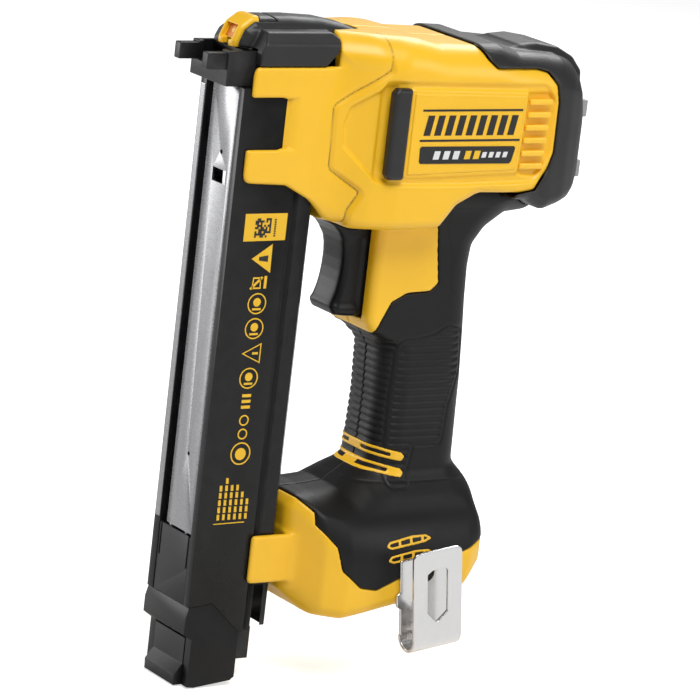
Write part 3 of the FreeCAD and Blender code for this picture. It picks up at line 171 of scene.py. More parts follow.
class Outline:
    """Distance to a closed outline with rounded corners: negative inside."""

    def __init__(self, points, radius=0.0):
        self.points = self.rounded(points, radius) if radius else points

    @staticmethod
    def rounded(points, radius):
        result = []
        for index, corner in enumerate(points):
            here = Vector(corner)
            before = Vector(points[index - 1]) - here
            after = Vector(points[(index + 1) % len(points)]) - here
            turn = before.angle(after)
            reach = min(radius / math.tan(turn / 2), 0.48 * before.length, 0.48 * after.length)
            start = here + before.normalized() * reach
            end = here + after.normalized() * reach
            for share in (0.0, 0.25, 0.5, 0.75, 1.0):
                point = start.lerp(here, share).lerp(here.lerp(end, share), share)
                result.append((point.x, point.y))
        return result

    def __call__(self, u, v):
        nearest = None
        inside = False
        for (ax, ay), (bx, by) in zip(self.points, self.points[1:] + self.points[:1]):
            ex, ey = bx - ax, by - ay
            length = ex * ex + ey * ey
            if length < 1e-12:
                continue
            pu, pv = u - ax, v - ay
            t = np.clip((pu * ex + pv * ey) / length, 0, 1)
            du, dv = pu - ex * t, pv - ey * t
            away = du * du + dv * dv
            nearest = away if nearest is None else np.minimum(nearest, away)
            if ay != by:
                crosses = (v >= min(ay, by)) & (v < max(ay, by)) & (u < ax + (v - ay) * (ex / ey))
                inside = inside ^ crosses
        return (np.where(inside, -1.0, 1.0) * np.sqrt(nearest)).astype(np.float32)


def block(x, y, z, low, high):
    """A plain box."""
    far = None
    for value, a, b in zip((x, y, z), low, high):
        away = np.abs(value - (a + b) / 2) - (b - a) / 2
        far = away if far is None else np.maximum(far, away)
    return far


def moulded(name, field, low, high, step, material, mirror=False, lines=None):
    """Mesh of a field's surface inside a box, with normals from the field.

    mirror flips it to the left side. lines gives, from 0 to 1, how deep in a dark line each point lies:
    painted shade along the casing's seam, dark pad outlines on the grip skin.
    """
    axes = [
        np.arange(a - 2 * step, b + 3 * step, step, dtype=np.float32) for a, b in zip(low, high)]
    x, y, z = axes[0][:, None, None], axes[1][None, :, None], axes[2][None, None, :]
    values = np.broadcast_to(field(x, y, z), [len(a) for a in axes]).astype(np.float32)
    band = 3 * step
    values = np.clip(values, -band, band)
    values[0], values[-1] = band, band
    values[:, 0], values[:, -1] = band, band
    values[:, :, 0], values[:, :, -1] = band, band
    grid = openvdb.FloatGrid(band)
    grid.copyFromArray(values)
    points, triangles, quads = grid.convertToPolygons(isovalue=0.0, adaptivity=0.0)
    if not len(quads) and not len(triangles):
        raise RuntimeError(f"{name} has no surface")
    cell = np.clip(points.astype(int), 1, np.array(values.shape) - 3)
    share = points - cell
    normals = np.zeros_like(points)
    for corner in np.ndindex(2, 2, 2):
        at = cell + corner
        weight = np.prod(np.where(corner, share, 1 - share), axis=1)[:, None]
        i, j, k = at.T
        slope = np.stack([
            values[i + 1, j, k] - values[i - 1, j, k],
            values[i, j + 1, k] - values[i, j - 1, k],
            values[i, j, k + 1] - values[i, j, k - 1],
        ], axis=1)
        normals += weight * slope
    normals /= np.maximum(np.linalg.norm(normals, axis=1), 1e-9)[:, None]
    places = points * step + np.array([a[0] for a in axes])
    faces = [list(f) for f in triangles] + [list(f) for f in quads]
    corners = places[np.array(faces[-1])]
    outward = np.cross(corners[1] - corners[0], corners[2] - corners[0]) @ normals[faces[-1][0]] > 0
    if mirror:
        places[:, 1] *= -1
        normals[:, 1] *= -1
    if outward == mirror:
        faces = [f[::-1] for f in faces]
    mesh = bpy.data.meshes.new(name)
    mesh.from_pydata((places * MM).tolist(), [], faces)
    mesh.shade_smooth()
    mesh.normals_split_custom_set_from_vertices(normals.tolist())
    # The line mask goes into the seam attribute: painted seam shade on the casing, dark pad outlines on
    # the skin.
    if lines is not None:
        depth = lines(places[:, 0], np.abs(places[:, 1]), places[:, 2])
        seam = mesh.attributes.new("seam", "FLOAT", "POINT")
        seam.data.foreach_set("value", depth.astype(np.float32))
    return placed(name, mesh, material)


def placed(name, mesh, material):
    """An object for a mesh, at the origin, in the scene."""
    piece = bpy.data.objects.new(name, mesh)
    bpy.context.scene.collection.objects.link(piece)
    if material is not None:
        mesh.materials.clear()
        mesh.materials.append(material)
    return piece


def settle(piece, body, slot, *nodes):
    """The piece rides on a body and stands for CAD nodes, which it hides; slot is not used."""
    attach(piece, body)
    if nodes:
        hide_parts(*nodes)
    return piece


def shaped(name, field, low, high, step, look, body, slot, *nodes, mirror=False, lines=None):
    """A moulded piece in its finish, on its body, in place of its CAD nodes."""
    piece = moulded(name, field, low, high, step, finish(look), mirror, lines)
    return settle(piece, body, slot, *nodes)


def applied(piece, material):
    """Turns a piece's modifiers into its plain mesh, in one material."""
    bpy.context.view_layer.update()
    graph = bpy.context.evaluated_depsgraph_get()
    mesh = bpy.data.meshes.new_from_object(piece.evaluated_get(graph))
    piece.modifiers.clear()
    piece.data = mesh
    mesh.materials.clear()
    mesh.materials.append(material)


def eased(name, node, body, slot, width, look, segments=2):
    """A CAD node's own form with eased edges."""
    material = finish(look)
    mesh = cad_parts[node].data.copy()
    mesh.name = name
    piece = placed(name, mesh, material)
    shell = bmesh.new()
    shell.from_mesh(mesh)
    bmesh.ops.remove_doubles(shell, verts=shell.verts, dist=1e-6)
    bmesh.ops.dissolve_limit(
        shell, angle_limit=math.radians(0.5), verts=shell.verts, edges=shell.edges,
        delimit={"NORMAL"})
    shell.to_mesh(mesh)
    shell.free()
    mesh.shade_smooth()
    bevel = piece.modifiers.new("Eased edges", "BEVEL")
    bevel.width = width * MM
    bevel.segments = segments
    bevel.limit_method = "ANGLE"
    bevel.angle_limit = math.radians(28.0)
    bevel.harden_normals = True
    bevel.use_clamp_overlap = True
    applied(piece, material)
    return settle(piece, body, slot, node)


# The tool's own forms -----------------------------------------------------------

BODY_SIDE = Outline([
    (54, 13.0), (76, 12.8), (92, 12.3), (98, 11.7), (108, 9.5), (138, 8.5), (148, 5.4), (160, 4.6),
    (172, 3.4), (181, 0.4), (187, -4.4), (190.4, -11), (190.4, -47), (187.6, -53.4), (182, -57.2),
    (166, -60.6), (157, -56), (131, -54), (121, -59), (113, -69), (72, -69.6), (62.7, -66.5),
    (54, -58.5),
], 5)
ARM_SIDE = Outline([
    (20.3, -1.1), (72, -1.1), (72, -66), (62.7, -66), (54.8, -58.6), (41.3, -51.6), (20.3, -50.5),
], 4)
ARM_WINDOW = Outline([(6, -14.2), (37.6, -14.2), (37.6, -36.4), (6, -36.4)], 2.5)
RAISED = Outline([
    (82, 30), (81.4, -1.1), (60.8, -17.7), (61.4, -43.7), (74.5, -52.8), (70.2, -62), (70, -80),
    (200, -80), (200, 30),
], 3)
POCKET = Outline([
    (84, -6.6), (80, -7.0), (66.6, -17.5), (64.6, -25), (65.2, -34), (78, -47.2), (84, -47.6),
], 1.5)
PANEL = Outline([(90, -7.6), (150.6, -8.9), (149.2, -44.6), (90, -46.2)], 2)
RIB_FIELD = Outline([
    (150.8, -9.6), (163, -9.8), (166.2, -14), (166.6, -36), (160, -46), (149.6, -45),
], 2)
PANEL_BAY = Outline([
    (78, -5.0), (160, -6.4), (165, -12), (165.4, -38), (158, -48.6), (120, -49.4), (78, -49.0),
], 4)
CAP_ZONE = Outline([
    (126.4, 30), (127.6, 8.4), (129.4, 4.2), (133, 1.0), (155, 0.6), (161, -0.8), (166.0, -6.4),
    (168.0, -14), (168.2, -36), (165.5, -43), (159.3, -52.1), (150, -54), (150, -100), (210, -100),
    (210, 30),
], 2.2)
SPINE = Outline([
    (149, 0), (151.5, 5.2), (157, 7.6), (166, 8.4), (177, 6.8), (186, 2.4), (191.2, -3.6), (192.0, -12),
    (192.0, -24), (184, -24), (166, -4),
], 3)
RIDGE_SIDE = Outline([
    (15.9, -4), (15.9, 7), (18.6, 13.4), (24, 17.3), (44, 17.4), (59, 16.6), (70, 14.6), (82, 10.5),
    (82, -4),
], 4)
CHEEK_SIDE = Outline([
    (22.3, -1.2), (22.3, 4.6), (26.6, 12.8), (58.6, 12.8), (61.6, 10.4), (60.5, 4.7), (54.9, -1.2),
], 1)
LATCH_ZONE = Outline([(8, 4.6), (23.5, 4.6), (25.2, 12), (32, 13.4), (32, 24), (8, 24)], 0.8)
GRIP_SIDE = Outline([
    (104, -48), (170, -50), (176, -58), (172, -66), (160, -67.5), (151, -74), (146.4, -81),
    (145.6, -90), (146.2, -104), (147.4, -120), (148.6, -140), (149.2, -176), (156, -190), (157, -204),
    (72, -204), (72, -192.6), (90, -190), (99, -184.5), (104.4, -178), (105.2, -150), (104.2, -127),
    (99, -119.4), (95, -118.4), (92, -113), (92, -62),
], 5)
NECK_ZONE = Outline([
    (10, 40), (200, 40), (200, -53), (132.4, -53.1), (122, -58.4), (118.6, -66), (122, -72),
    (125.8, -96.2), (122, -99.6), (110, -100.3), (102.6, -104.0), (98.4, -112.0), (95.4, -118.6),
    (10, -121),
], 2)
FOOT_SIDE = Outline([
    (62.6, -193), (66, -188.6), (76, -190.6), (90, -189.6), (99, -183), (140, -183), (153, -186),
    (155.6, -196), (157.5, -208), (157.5, -219), (145, -229.2), (84, -240), (72, -239), (62.6, -230),
], 5)
COVER_ZONE = Outline([
    (64.6, -150), (64.6, -187.6), (71.3, -194), (71.2, -199), (78.9, -207.4), (81.6, -217.6),
    (90.2, -225), (98.4, -226.5), (112, -221), (162, -205.4), (162, -150),
], 1.2)
CLIP = Outline([(44.5, -204.8), (80, -204.8), (80, -226), (44.5, -226)], 2)
RIB_PATCH = Outline([
    (110.6, -122.6), (119.3, -121.9), (127, -120.4), (134, -116.6), (140, -118), (141.9, -135.5),
    (139, -143), (136.8, -150), (135.4, -167), (121, -167), (118, -184.5), (110.6, -184.5),
], 1.5)
FINGER_PATCH = Outline([(90, -121), (108.6, -121), (108.6, -168), (90, -168)], 1)
PALM_PAD = Outline([
    (128, -62.5), (152, -63.5), (200, -64), (200, -200), (139.2, -178), (141.5, -150), (144.6, -136),
    (144.4, -126), (143.6, -118), (141.6, -108), (137, -103), (132, -98), (131.2, -84), (126, -70),
], 2)
TRIGGER_SIDE = Outline([
    (72.5, -70.4), (75.6, -72.6), (78.2, -75.4), (80.0, -78.8), (81.1, -82.8), (81.5, -87.4),
    (81.3, -92.4), (80.8, -97.0), (80.0, -101.0), (78.8, -104.6), (77.4, -107.6), (79.4, -111.2),
    (86, -112), (98.5, -112), (98.5, -70.2),
], 2.4)
BUMPER_SIDE = Outline([
    (80.6, -9.4), (82.4, -7.4), (89.6, -7.4), (89.6, -46.6), (82.4, -46.6), (80.6, -44.4),
], 1.2)

BODY_WIDTH = Curve([
    (50, 19.4), (60, 20.2), (66, 23.6), (76, 29.6), (88, 33.2), (104, 33.5), (150, 33.5), (166, 32.2),
    (176, 29.6), (184, 25.4), (190.5, 20.0),
], 7)
FOOT_WIDTH = Curve([
    (58, 17.6), (63, 17.8), (67, 21), (74, 32), (84, 37.4), (92, 38), (146, 38), (157.5, 31),
], 5)
GRIP_SHARE = Curve([
    (-206, 1.22), (-192, 1.18), (-180, 1.02), (-150, 1.0), (-80, 1.0), (-64, 1.08), (-48, 1.4),
], 10)


LATCH_PIVOT = (31.0, 13.2)
MAGAZINE_REAR = 62.0
MOTOR_HEIGHT, MOTOR_ROOM = -32.0, 17.2
MOTOR_MIDDLE, MOTOR_REACH = 125.0, 42.0
TRIGGER_ROOM = ((70, -1, -112.6), (108, 11.2, -69.4))
SKIN_TRIGGER_ROOM = ((70, -1, -112.9), (108, 11.2, -69.4))
STRIKER_ROOM = ((60, -13.2, -16), (130, 13.2, 4.2))
COVER_ROOM = ((73.5, -13.2, -8), (90, 13.2, 4.2))
FOOT_TILT = math.radians(10.4)
BAY_CORNER = (85.0, -240.0)
BAY_HALF, BAY_MOUTH_HALF, BAY_START = 29.0, 25.0, 10.0
BAY_SLOT_LEVEL, BAY_SLOT_HALF, BAY_MOUTH_TOP = 6.2, 2.8, 5.0
PART_GAP = 0.06
SEAM_OFFSET, SEAM_DEPTH = 0.9, 0.5
RAISED_LIFT, POCKET_DEPTH, BAY_DEPTH = 1.2, 1.8, 1.1
PANEL_LIFT, RIB_FIELD_DEPTH, SIDE_SINK = 1.1, 1.1, 1.35
WINDOW_MIDDLE, WINDOW_HALF, WINDOW_SLOPE = -25.3, 10.6, 2.7
RIM_HEIGHT, RIM_OFFSET = 0.6, 1.6
FOOT_SEAM, FOOT_SKIN = -184.0, 0.25
TAB_TOPS = (-15.0, -41.5)
PANEL_FACE, MARK_LEVEL = 33.7, -36.0
LABEL_FACE, LABEL_LAYER, LABEL_INK, LABEL_COLUMN = -17.1, 0.12, 0.14, 34.6


def body_form(x, y, z, grow=0.0):
    """Body and cap together: flat sides, a crowned top and a tighter underside."""
    edge = 5.0 + 9.0 * ramp((z + 26.0) / 24.0)
    return meet(np.abs(y) - BODY_WIDTH(x) - grow, BODY_SIDE(x, z) - grow, edge)


def grip_form(x, y, z):
    """Handle with a full oval section, flaring into the body and the foot."""
    edge = 4.0 + 8.5 * np.maximum(ramp((x - 96.0) / 26.0), ramp((-117.0 - z) / 10.0))
    half = sizes().grip_half * GRIP_SHARE(z)
    return meet(np.abs(y) - half, GRIP_SIDE(x, z), edge)


def foot_form(x, y, z):
    """Battery foot with sloping shoulders."""
    side = meet(np.abs(y) - FOOT_WIDTH(x), FOOT_SIDE(x, z), 6.0)
    slope = 0.72 * (np.abs(y) - sizes().foot_half) + 0.694 * (z + 205.0)
    return meet(side, slope, 7.0)


def handle_form(x, y, z):
    """Grip and foot as one flowing form."""
    return join(grip_form(x, y, z), foot_form(x, y, z), 9.0)


def ribbed(value, z, mask):
    """Even ribs cut into a form where the mask is set."""
    wave = 0.5 + 0.5 * np.cos(2 * math.pi * z / sizes().rib_pitch)
    return value + sizes().rib_depth * wave ** 3 * mask


def cover_form(x, y, z):
    """Rounded ridge with a domed front between two faceted cheeks."""
    ridge = meet(np.abs(y) - 10.6, RIDGE_SIDE(x, z), 7.5)
    cheek = meet(np.abs(y) - sizes().arm_half, CHEEK_SIDE(x, z), 0.8)
    facet = 0.70 * (np.abs(y) - sizes().arm_half) + 0.714 * (z - 8.2)
    return join(ridge, meet(cheek, facet, 0.7), 1.0)


def hollow_cover(x, y, z):
    """The cover with the driver's room in it."""
    return np.maximum(cover_form(x, y, z), -block(x, y, z, *COVER_ROOM))


def cap_form(x, y, z):
    """Motor cap with its saddle and a raised spine."""
    shell = body_form(x, y, z, grow=1.0)
    spine = meet(np.abs(y) - 15.0, SPINE(x, z), 3.4)
    return join(shell, spine, 1.6)


def yellow_form(x, y, z):
    """The right half of the yellow casing."""
    size = sizes()
    across = np.abs(y)
    raised = RAISED(x, z)
    step = RAISED_LIFT * ramp(0.5 - raised / 1.3)
    groove = SEAM_DEPTH * np.exp(-(raised - SEAM_OFFSET) ** 2 / 0.35)
    pocket = POCKET_DEPTH * ramp(0.5 - POCKET(x, z) / 2.0)
    bay = BAY_DEPTH * ramp(0.5 - PANEL_BAY(x, z) / 1.5)
    plate = PANEL_LIFT * ramp(0.5 - PANEL(x, z) / 0.9)
    rows = RIB_FIELD_DEPTH * ramp(0.5 - RIB_FIELD(x, z) / 1.2)
    lift = step - groove - pocket - bay + plate - rows - SIDE_SINK
    flat = ramp((6.0 - z) / 8.0) * ramp((across - 12.0) / 6.0)
    body = body_form(x, y, z) - lift * flat
    plate_arm = meet(across - size.arm_half, ARM_SIDE(x, z), 1.5)
    slope = x - 37.6 - WINDOW_SLOPE * (across - 17.3)
    slope = np.maximum(slope, np.abs(z - WINDOW_MIDDLE) - WINDOW_HALF)
    plate_arm = carve(plate_arm, np.minimum(ARM_WINDOW(x, z), slope), 0.9)
    upper = join(body, plate_arm, 4.0)
    neck = meet(grip_form(x, y, z), NECK_ZONE(x, z), 0.5)
    upper = join(upper, neck, 4.0)
    upper = meet(upper, size.seam_gap - CAP_ZONE(x, z), 0.5)
    upper = meet(upper, NECK_ZONE(x, z), 0.5)
    upper = np.maximum(upper, 0.25 - cover_form(x, y, z))
    upper = np.maximum(upper, np.minimum(MAGAZINE_REAR - 0.4 - x, z + 1.1))
    foot = carve(foot_form(x, y, z), COVER_ZONE(x, z) - size.seam_gap, 0.6)
    clip = meet(across - size.arm_half, CLIP(x, z), 1.4)
    foot = join(foot, clip, 2.5)
    form = np.minimum(upper, foot)
    slot = np.maximum(across - size.slot_half, x - MAGAZINE_REAR - 0.2)
    form = carve(form, slot, 0.5)
    form = carve(form, block(x, across, z, *TRIGGER_ROOM), 0.6)
    motor_room = np.maximum(
        np.hypot(y, z - MOTOR_HEIGHT) - MOTOR_ROOM, np.abs(x - MOTOR_MIDDLE) - MOTOR_REACH)
    form = np.maximum(form, -np.minimum(motor_room, block(x, y, z, *STRIKER_ROOM)))
    out, up = x - BAY_CORNER[0], z - BAY_CORNER[1]
    along = out * math.cos(FOOT_TILT) + up * math.sin(FOOT_TILT)
    above = -out * math.sin(FOOT_TILT) + up * math.cos(FOOT_TILT)
    slots = np.maximum(across - BAY_HALF, np.abs(above - BAY_SLOT_LEVEL) - BAY_SLOT_HALF)
    mouth = np.maximum(across - BAY_MOUTH_HALF, above - BAY_MOUTH_TOP)
    bay_room = np.maximum(np.minimum(slots, mouth), BAY_START - along)
    form = carve(form, bay_room, 0.4)
    return meet(form, y + PART_GAP, 0.35)


def rubber_form(x, y, z):
    """The right half of the black skin on the grip and the foot."""
    size = sizes()
    form = handle_form(x, y, z)
    side = ramp((np.abs(y) - 6.0) / 5.0)
    patch = ramp(0.5 - RIB_PATCH(x, z) / 0.8) * side
    fingers = ramp(0.5 - FINGER_PATCH(x, z) / 0.8)
    form = ribbed(form, z, np.maximum(patch, fingers))
    rim = RIM_HEIGHT * np.exp(-(RIB_PATCH(x, z) - RIM_OFFSET) ** 2 / 0.16) * side
    form = form + rim
    lower = np.maximum(COVER_ZONE(x, z), z - FOOT_SEAM)
    upper = np.maximum(size.seam_gap - NECK_ZONE(x, z), FOOT_SEAM - 0.2 - z)
    zone = np.minimum(lower, upper)
    form = meet(form - FOOT_SKIN * ramp((-178.0 - z) / 6.0), zone, 0.5)
    form = np.maximum(form, np.minimum(-0.7 - body_form(x, y, z), z + 75.0))
    form = np.maximum(form, 0.2 - cap_zone_form(x, y, z))
    form = np.maximum(form, -block(x, np.abs(y), z, *SKIN_TRIGGER_ROOM))
    return meet(form, y + PART_GAP, 0.35)


def casing_seam_shade(x, across, z):
    """Painted shade: a dark line where the casing's two mouldings meet, standing in for the seam gap's
    shade.
    """
    outside = ramp((across - 13.0) / 2.0) * ramp((x - 57.0) / 2.0)
    seam = np.exp(-(RAISED(x, z) - SEAM_OFFSET) ** 2 / 0.07)
    return seam * outside * ramp((z + 73.0) / 2.0)


def skin_lines(x, across, z):
    """Outlines of the grip's ribbed pads and of the palm pad."""
    pad = np.exp(-(RIB_PATCH(x, z) - 1.5) ** 2 / 0.06) * ramp((across - 7.0) / 2.0)
    palm = np.exp(-PALM_PAD(x, z) ** 2 / 0.06) * ramp((across - 5.0) / 2.0)
    return np.maximum(pad, palm)


def cap_zone_form(x, y, z):
    """The cap's solid, without louvres."""
    return meet(cap_form(x, y, z), CAP_ZONE(x, z), 0.6)


def rear_cap_form(x, y, z):
    """The whole rear cap, with louvres in its end."""
    cap = cap_zone_form(x, y, z)
    hollow = np.maximum(body_form(x, y, z) + 2.6, 167.0 - x)
    cap = np.maximum(cap, -hollow)
    cap = np.maximum(cap, np.minimum(0.3 - body_form(x, y, z), 164.0 - x))
    rows = np.abs(np.mod(z + 14.0, 6.0) - 3.0) - 1.2
    columns = np.abs(np.abs(y) - 7.5) - 5.0
    field = np.maximum(np.abs(z + 31.0) - 16.0, 180.0 - x)
    louvre = np.maximum(np.maximum(rows, columns), field)
    return carve(cap, louvre, 0.4)


# Shader node groups ------------------------------------------------------------

def new_group(name, inputs, outputs):
    """A shader node group with named sockets: (name, default) inputs and (name, type) outputs."""
    group = bpy.data.node_groups.new(name, "ShaderNodeTree")
    for label, default in inputs:
        socket = group.interface.new_socket(label, in_out="INPUT", socket_type="NodeSocketFloat")
        socket.default_value = default
    for label, kind in outputs:
        group.interface.new_socket(label, in_out="OUTPUT", socket_type=kind)
    start = group.nodes.new("NodeGroupInput")
    end = group.nodes.new("NodeGroupOutput")
    return group, start, end


def math_node(tree, operation, *values):
    """A math node whose inputs are numbers or sockets; returns its output."""
    node = tree.nodes.new("ShaderNodeMath")
    node.operation = operation
    for index, value in enumerate(values):
        if isinstance(value, (int, float)):
            node.inputs[index].default_value = value
        else:
            tree.links.new(value, node.inputs[index])
    return node.outputs[0]


def noise(tree, vector, scale, detail=3.0, roughness=0.5):
    """A noise value; scale is a number or a socket."""
    node = tree.nodes.new("ShaderNodeTexNoise")
    if isinstance(scale, (int, float)):
        node.inputs["Scale"].default_value = scale
    else:
        tree.links.new(scale, node.inputs["Scale"])
    node.inputs["Detail"].default_value = detail
    node.inputs["Roughness"].default_value = roughness
    tree.links.new(vector, node.inputs["Vector"])
    return node.outputs["Fac"]


def moulded_grain_group():
    """Spark-eroded mould texture: a fine height and a slow drift of gloss."""
    group, start, end = new_group(
        "Moulded grain", [("Grain scale", 1800.0), ("Drift scale", 26.0)],
        [("Height", "NodeSocketFloat"), ("Drift", "NodeSocketFloat")])
    where = group.nodes.new("ShaderNodeTexCoord").outputs["Object"]
    cells = group.nodes.new("ShaderNodeTexVoronoi")
    cells.feature = "SMOOTH_F1"
    group.links.new(where, cells.inputs["Vector"])
    group.links.new(start.outputs["Grain scale"], cells.inputs["Scale"])
    fine = noise(group, where, start.outputs["Grain scale"], 2.0)
    height = math_node(group, "MULTIPLY", cells.outputs["Distance"], fine)
    group.links.new(height, end.inputs["Height"])
    drift = noise(group, where, start.outputs["Drift scale"], 4.0, 0.6)
    group.links.new(drift, end.inputs["Drift"])
    return group


def edge_rub_group():
    """Mask of worn outer edges, from how sharply the surface turns, broken up by noise."""
    group, start, end = new_group(
        "Edge rub", [("Start", 0.53), ("Breakup scale", 160.0)], [("Mask", "NodeSocketFloat")])
    where = group.nodes.new("ShaderNodeTexCoord").outputs["Object"]
    sharp = group.nodes.new("ShaderNodeNewGeometry").outputs["Pointiness"]
    above = math_node(group, "SUBTRACT", sharp, start.outputs["Start"])
    strong = math_node(group, "MULTIPLY", above, 14.0)
    breakup = noise(group, where, start.outputs["Breakup scale"], 4.0)
    patchy = math_node(group, "MULTIPLY", strong, breakup)
    held = group.nodes.new("ShaderNodeClamp")
    group.links.new(patchy, held.inputs["Value"])
    group.links.new(held.outputs[0], end.inputs["Mask"])
    return group


def fine_dust_group():
    """Mask of handling haze: soft blotches and a few hairline scuffs."""
    group, start, end = new_group(
        "Fine dust", [("Blotch scale", 45.0), ("Amount", 0.5)], [("Mask", "NodeSocketFloat")])
    where = group.nodes.new("ShaderNodeTexCoord").outputs["Object"]
    blotch = noise(group, where, start.outputs["Blotch scale"], 5.0, 0.62)
    stretch = group.nodes.new("ShaderNodeMapping")
    stretch.inputs["Scale"].default_value = (40.0, 260.0, 900.0)
    stretch.inputs["Rotation"].default_value = (0.3, 0.5, 0.2)
    group.links.new(where, stretch.inputs["Vector"])
    scuff = math_node(group, "GREATER_THAN", noise(group, stretch.outputs[0], 1.0, 2.0), 0.71)
    soft = math_node(group, "POWER", blotch, 2.5)
    both = math_node(group, "MAXIMUM", soft, math_node(group, "MULTIPLY", scuff, 0.3))
    group.links.new(math_node(group, "MULTIPLY", both, start.outputs["Amount"]), end.inputs["Mask"])
    return group


GROUPS = {}


def use_group(tree, name, **values):
    """Place a shared group in a material with its own values."""
    makers = {"grain": moulded_grain_group, "rub": edge_rub_group, "dust": fine_dust_group}
    if name not in GROUPS:
        GROUPS[name] = makers[name]()
    node = tree.nodes.new("ShaderNodeGroup")
    node.node_tree = GROUPS[name]
    for label, value in values.items():
        node.inputs[label.replace("_", " ").capitalize()].default_value = value
    return node


def mix_colour(tree, factor, first, second):
    """A blend of two colours, each a tuple or a socket."""
    node = tree.nodes.new("ShaderNodeMix")
    node.data_type = "RGBA"
    tree.links.new(factor, node.inputs["Factor"])
    for socket, value in ((node.inputs[6], first), (node.inputs[7], second)):
        if isinstance(value, (tuple, list)):
            socket.default_value = (*value[:3], 1.0)
        else:
            tree.links.new(value, socket)
    return node.outputs[2]


def bare_material(name):
    """A new material with its tree and its Principled shader."""
    material = bpy.data.materials.new(name)
    material.use_nodes = True
    tree = material.node_tree
    return material, tree, tree.nodes["Principled BSDF"]


def rough_from(tree, shader, drift, low, high):
    """Roughness between two values, driven by a drift."""
    span = tree.nodes.new("ShaderNodeMapRange")
    span.inputs["From Min"].default_value = 0.3
    span.inputs["From Max"].default_value = 0.7
    span.inputs["To Min"].default_value = low
    span.inputs["To Max"].default_value = high
    tree.links.new(drift, span.inputs["Value"])
    tree.links.new(span.outputs[0], shader.inputs["Roughness"])


def bump_from(tree, shader, height, strength, depth):
    """Fine relief from a height, its depth in millimetres."""
    bump = tree.nodes.new("ShaderNodeBump")
    bump.inputs["Strength"].default_value = strength
    bump.inputs["Distance"].default_value = depth * MM
    tree.links.new(height, bump.inputs["Height"])
    tree.links.new(bump.outputs[0], shader.inputs["Normal"])


def scaled(colour, factor):
    """A colour made lighter or darker."""
    return tuple(min(1.0, c * factor) for c in colour)


def plastic(name, colour, low, high, grain_scale, depth, rub, dust, coat=0.0, gleam=0.5):
    """Moulded plastic or rubber: grain, worn edges, handling haze, a drift of gloss, and dark lines
    from the seam attribute: painted seam shade on the casing, dark pad outlines on the skin.
    """
    material, tree, shader = bare_material(name)
    grain = use_group(tree, "grain", grain_scale=grain_scale)
    edge = use_group(tree, "rub")
    haze = use_group(tree, "dust", amount=dust)
    base = mix_colour(tree, grain.outputs["Drift"], scaled(colour, 0.93), scaled(colour, 1.07))
    dusty = mix_colour(tree, haze.outputs["Mask"], base, rub)
    worn = mix_colour(tree, edge.outputs["Mask"], dusty, rub)
    # Painted shade: the seam attribute darkens the colour to 0.22 along the casing's parting line,
    # where the gap lies in shade; on the grip skin it draws dark pad outlines.
    seam = tree.nodes.new("ShaderNodeAttribute")
    seam.attribute_name = "seam"
    seam_shade_and_outlines = mix_colour(tree, seam.outputs["Fac"], worn, scaled(colour, 0.22))
    tree.links.new(seam_shade_and_outlines, shader.inputs["Base Color"])
    rough_from(tree, shader, grain.outputs["Drift"], low, high)
    bump_from(tree, shader, grain.outputs["Height"], 0.35, depth)
    shader.inputs["Specular IOR Level"].default_value = gleam
    shader.inputs["Coat Weight"].default_value = coat
    shader.inputs["Coat Roughness"].default_value = 0.2
    return material


def metal(name, colour, low, high, brush=(900.0, 60.0, 60.0), rub=None):
    """Bare or coated metal with fine brushed lines."""
    material, tree, shader = bare_material(name)
    where = tree.nodes.new("ShaderNodeTexCoord").outputs["Object"]
    lines = tree.nodes.new("ShaderNodeMapping")
    lines.inputs["Scale"].default_value = brush
    tree.links.new(where, lines.inputs["Vector"])
    stroke = noise(tree, lines.outputs[0], 3.0, 4.0)
    haze = use_group(tree, "dust", amount=0.25)
    edge = use_group(tree, "rub", start=0.54)
    base = mix_colour(tree, stroke, scaled(colour, 0.88), scaled(colour, 1.08))
    dusty = mix_colour(tree, haze.outputs["Mask"], base, scaled(colour, 0.8))
    worn = mix_colour(tree, edge.outputs["Mask"], dusty, rub or scaled(colour, 1.15))
    tree.links.new(worn, shader.inputs["Base Color"])
    rough_from(tree, shader, stroke, low, high)
    bump_from(tree, shader, stroke, 0.12, 0.02)
    shader.inputs["Metallic"].default_value = 1.0
    return material


def ink(name, colour, rough):
    """Printed film, slightly uneven."""
    material, tree, shader = bare_material(name)
    haze = use_group(tree, "dust", amount=0.3)
    grain = use_group(tree, "grain", grain_scale=2600.0)
    hazed = mix_colour(tree, haze.outputs["Mask"], colour, scaled(colour, 0.75))
    tree.links.new(hazed, shader.inputs["Base Color"])
    rough_from(tree, shader, grain.outputs["Drift"], rough, rough + 0.12)
    bump_from(tree, shader, grain.outputs["Height"], 0.1, 0.01)
    return material


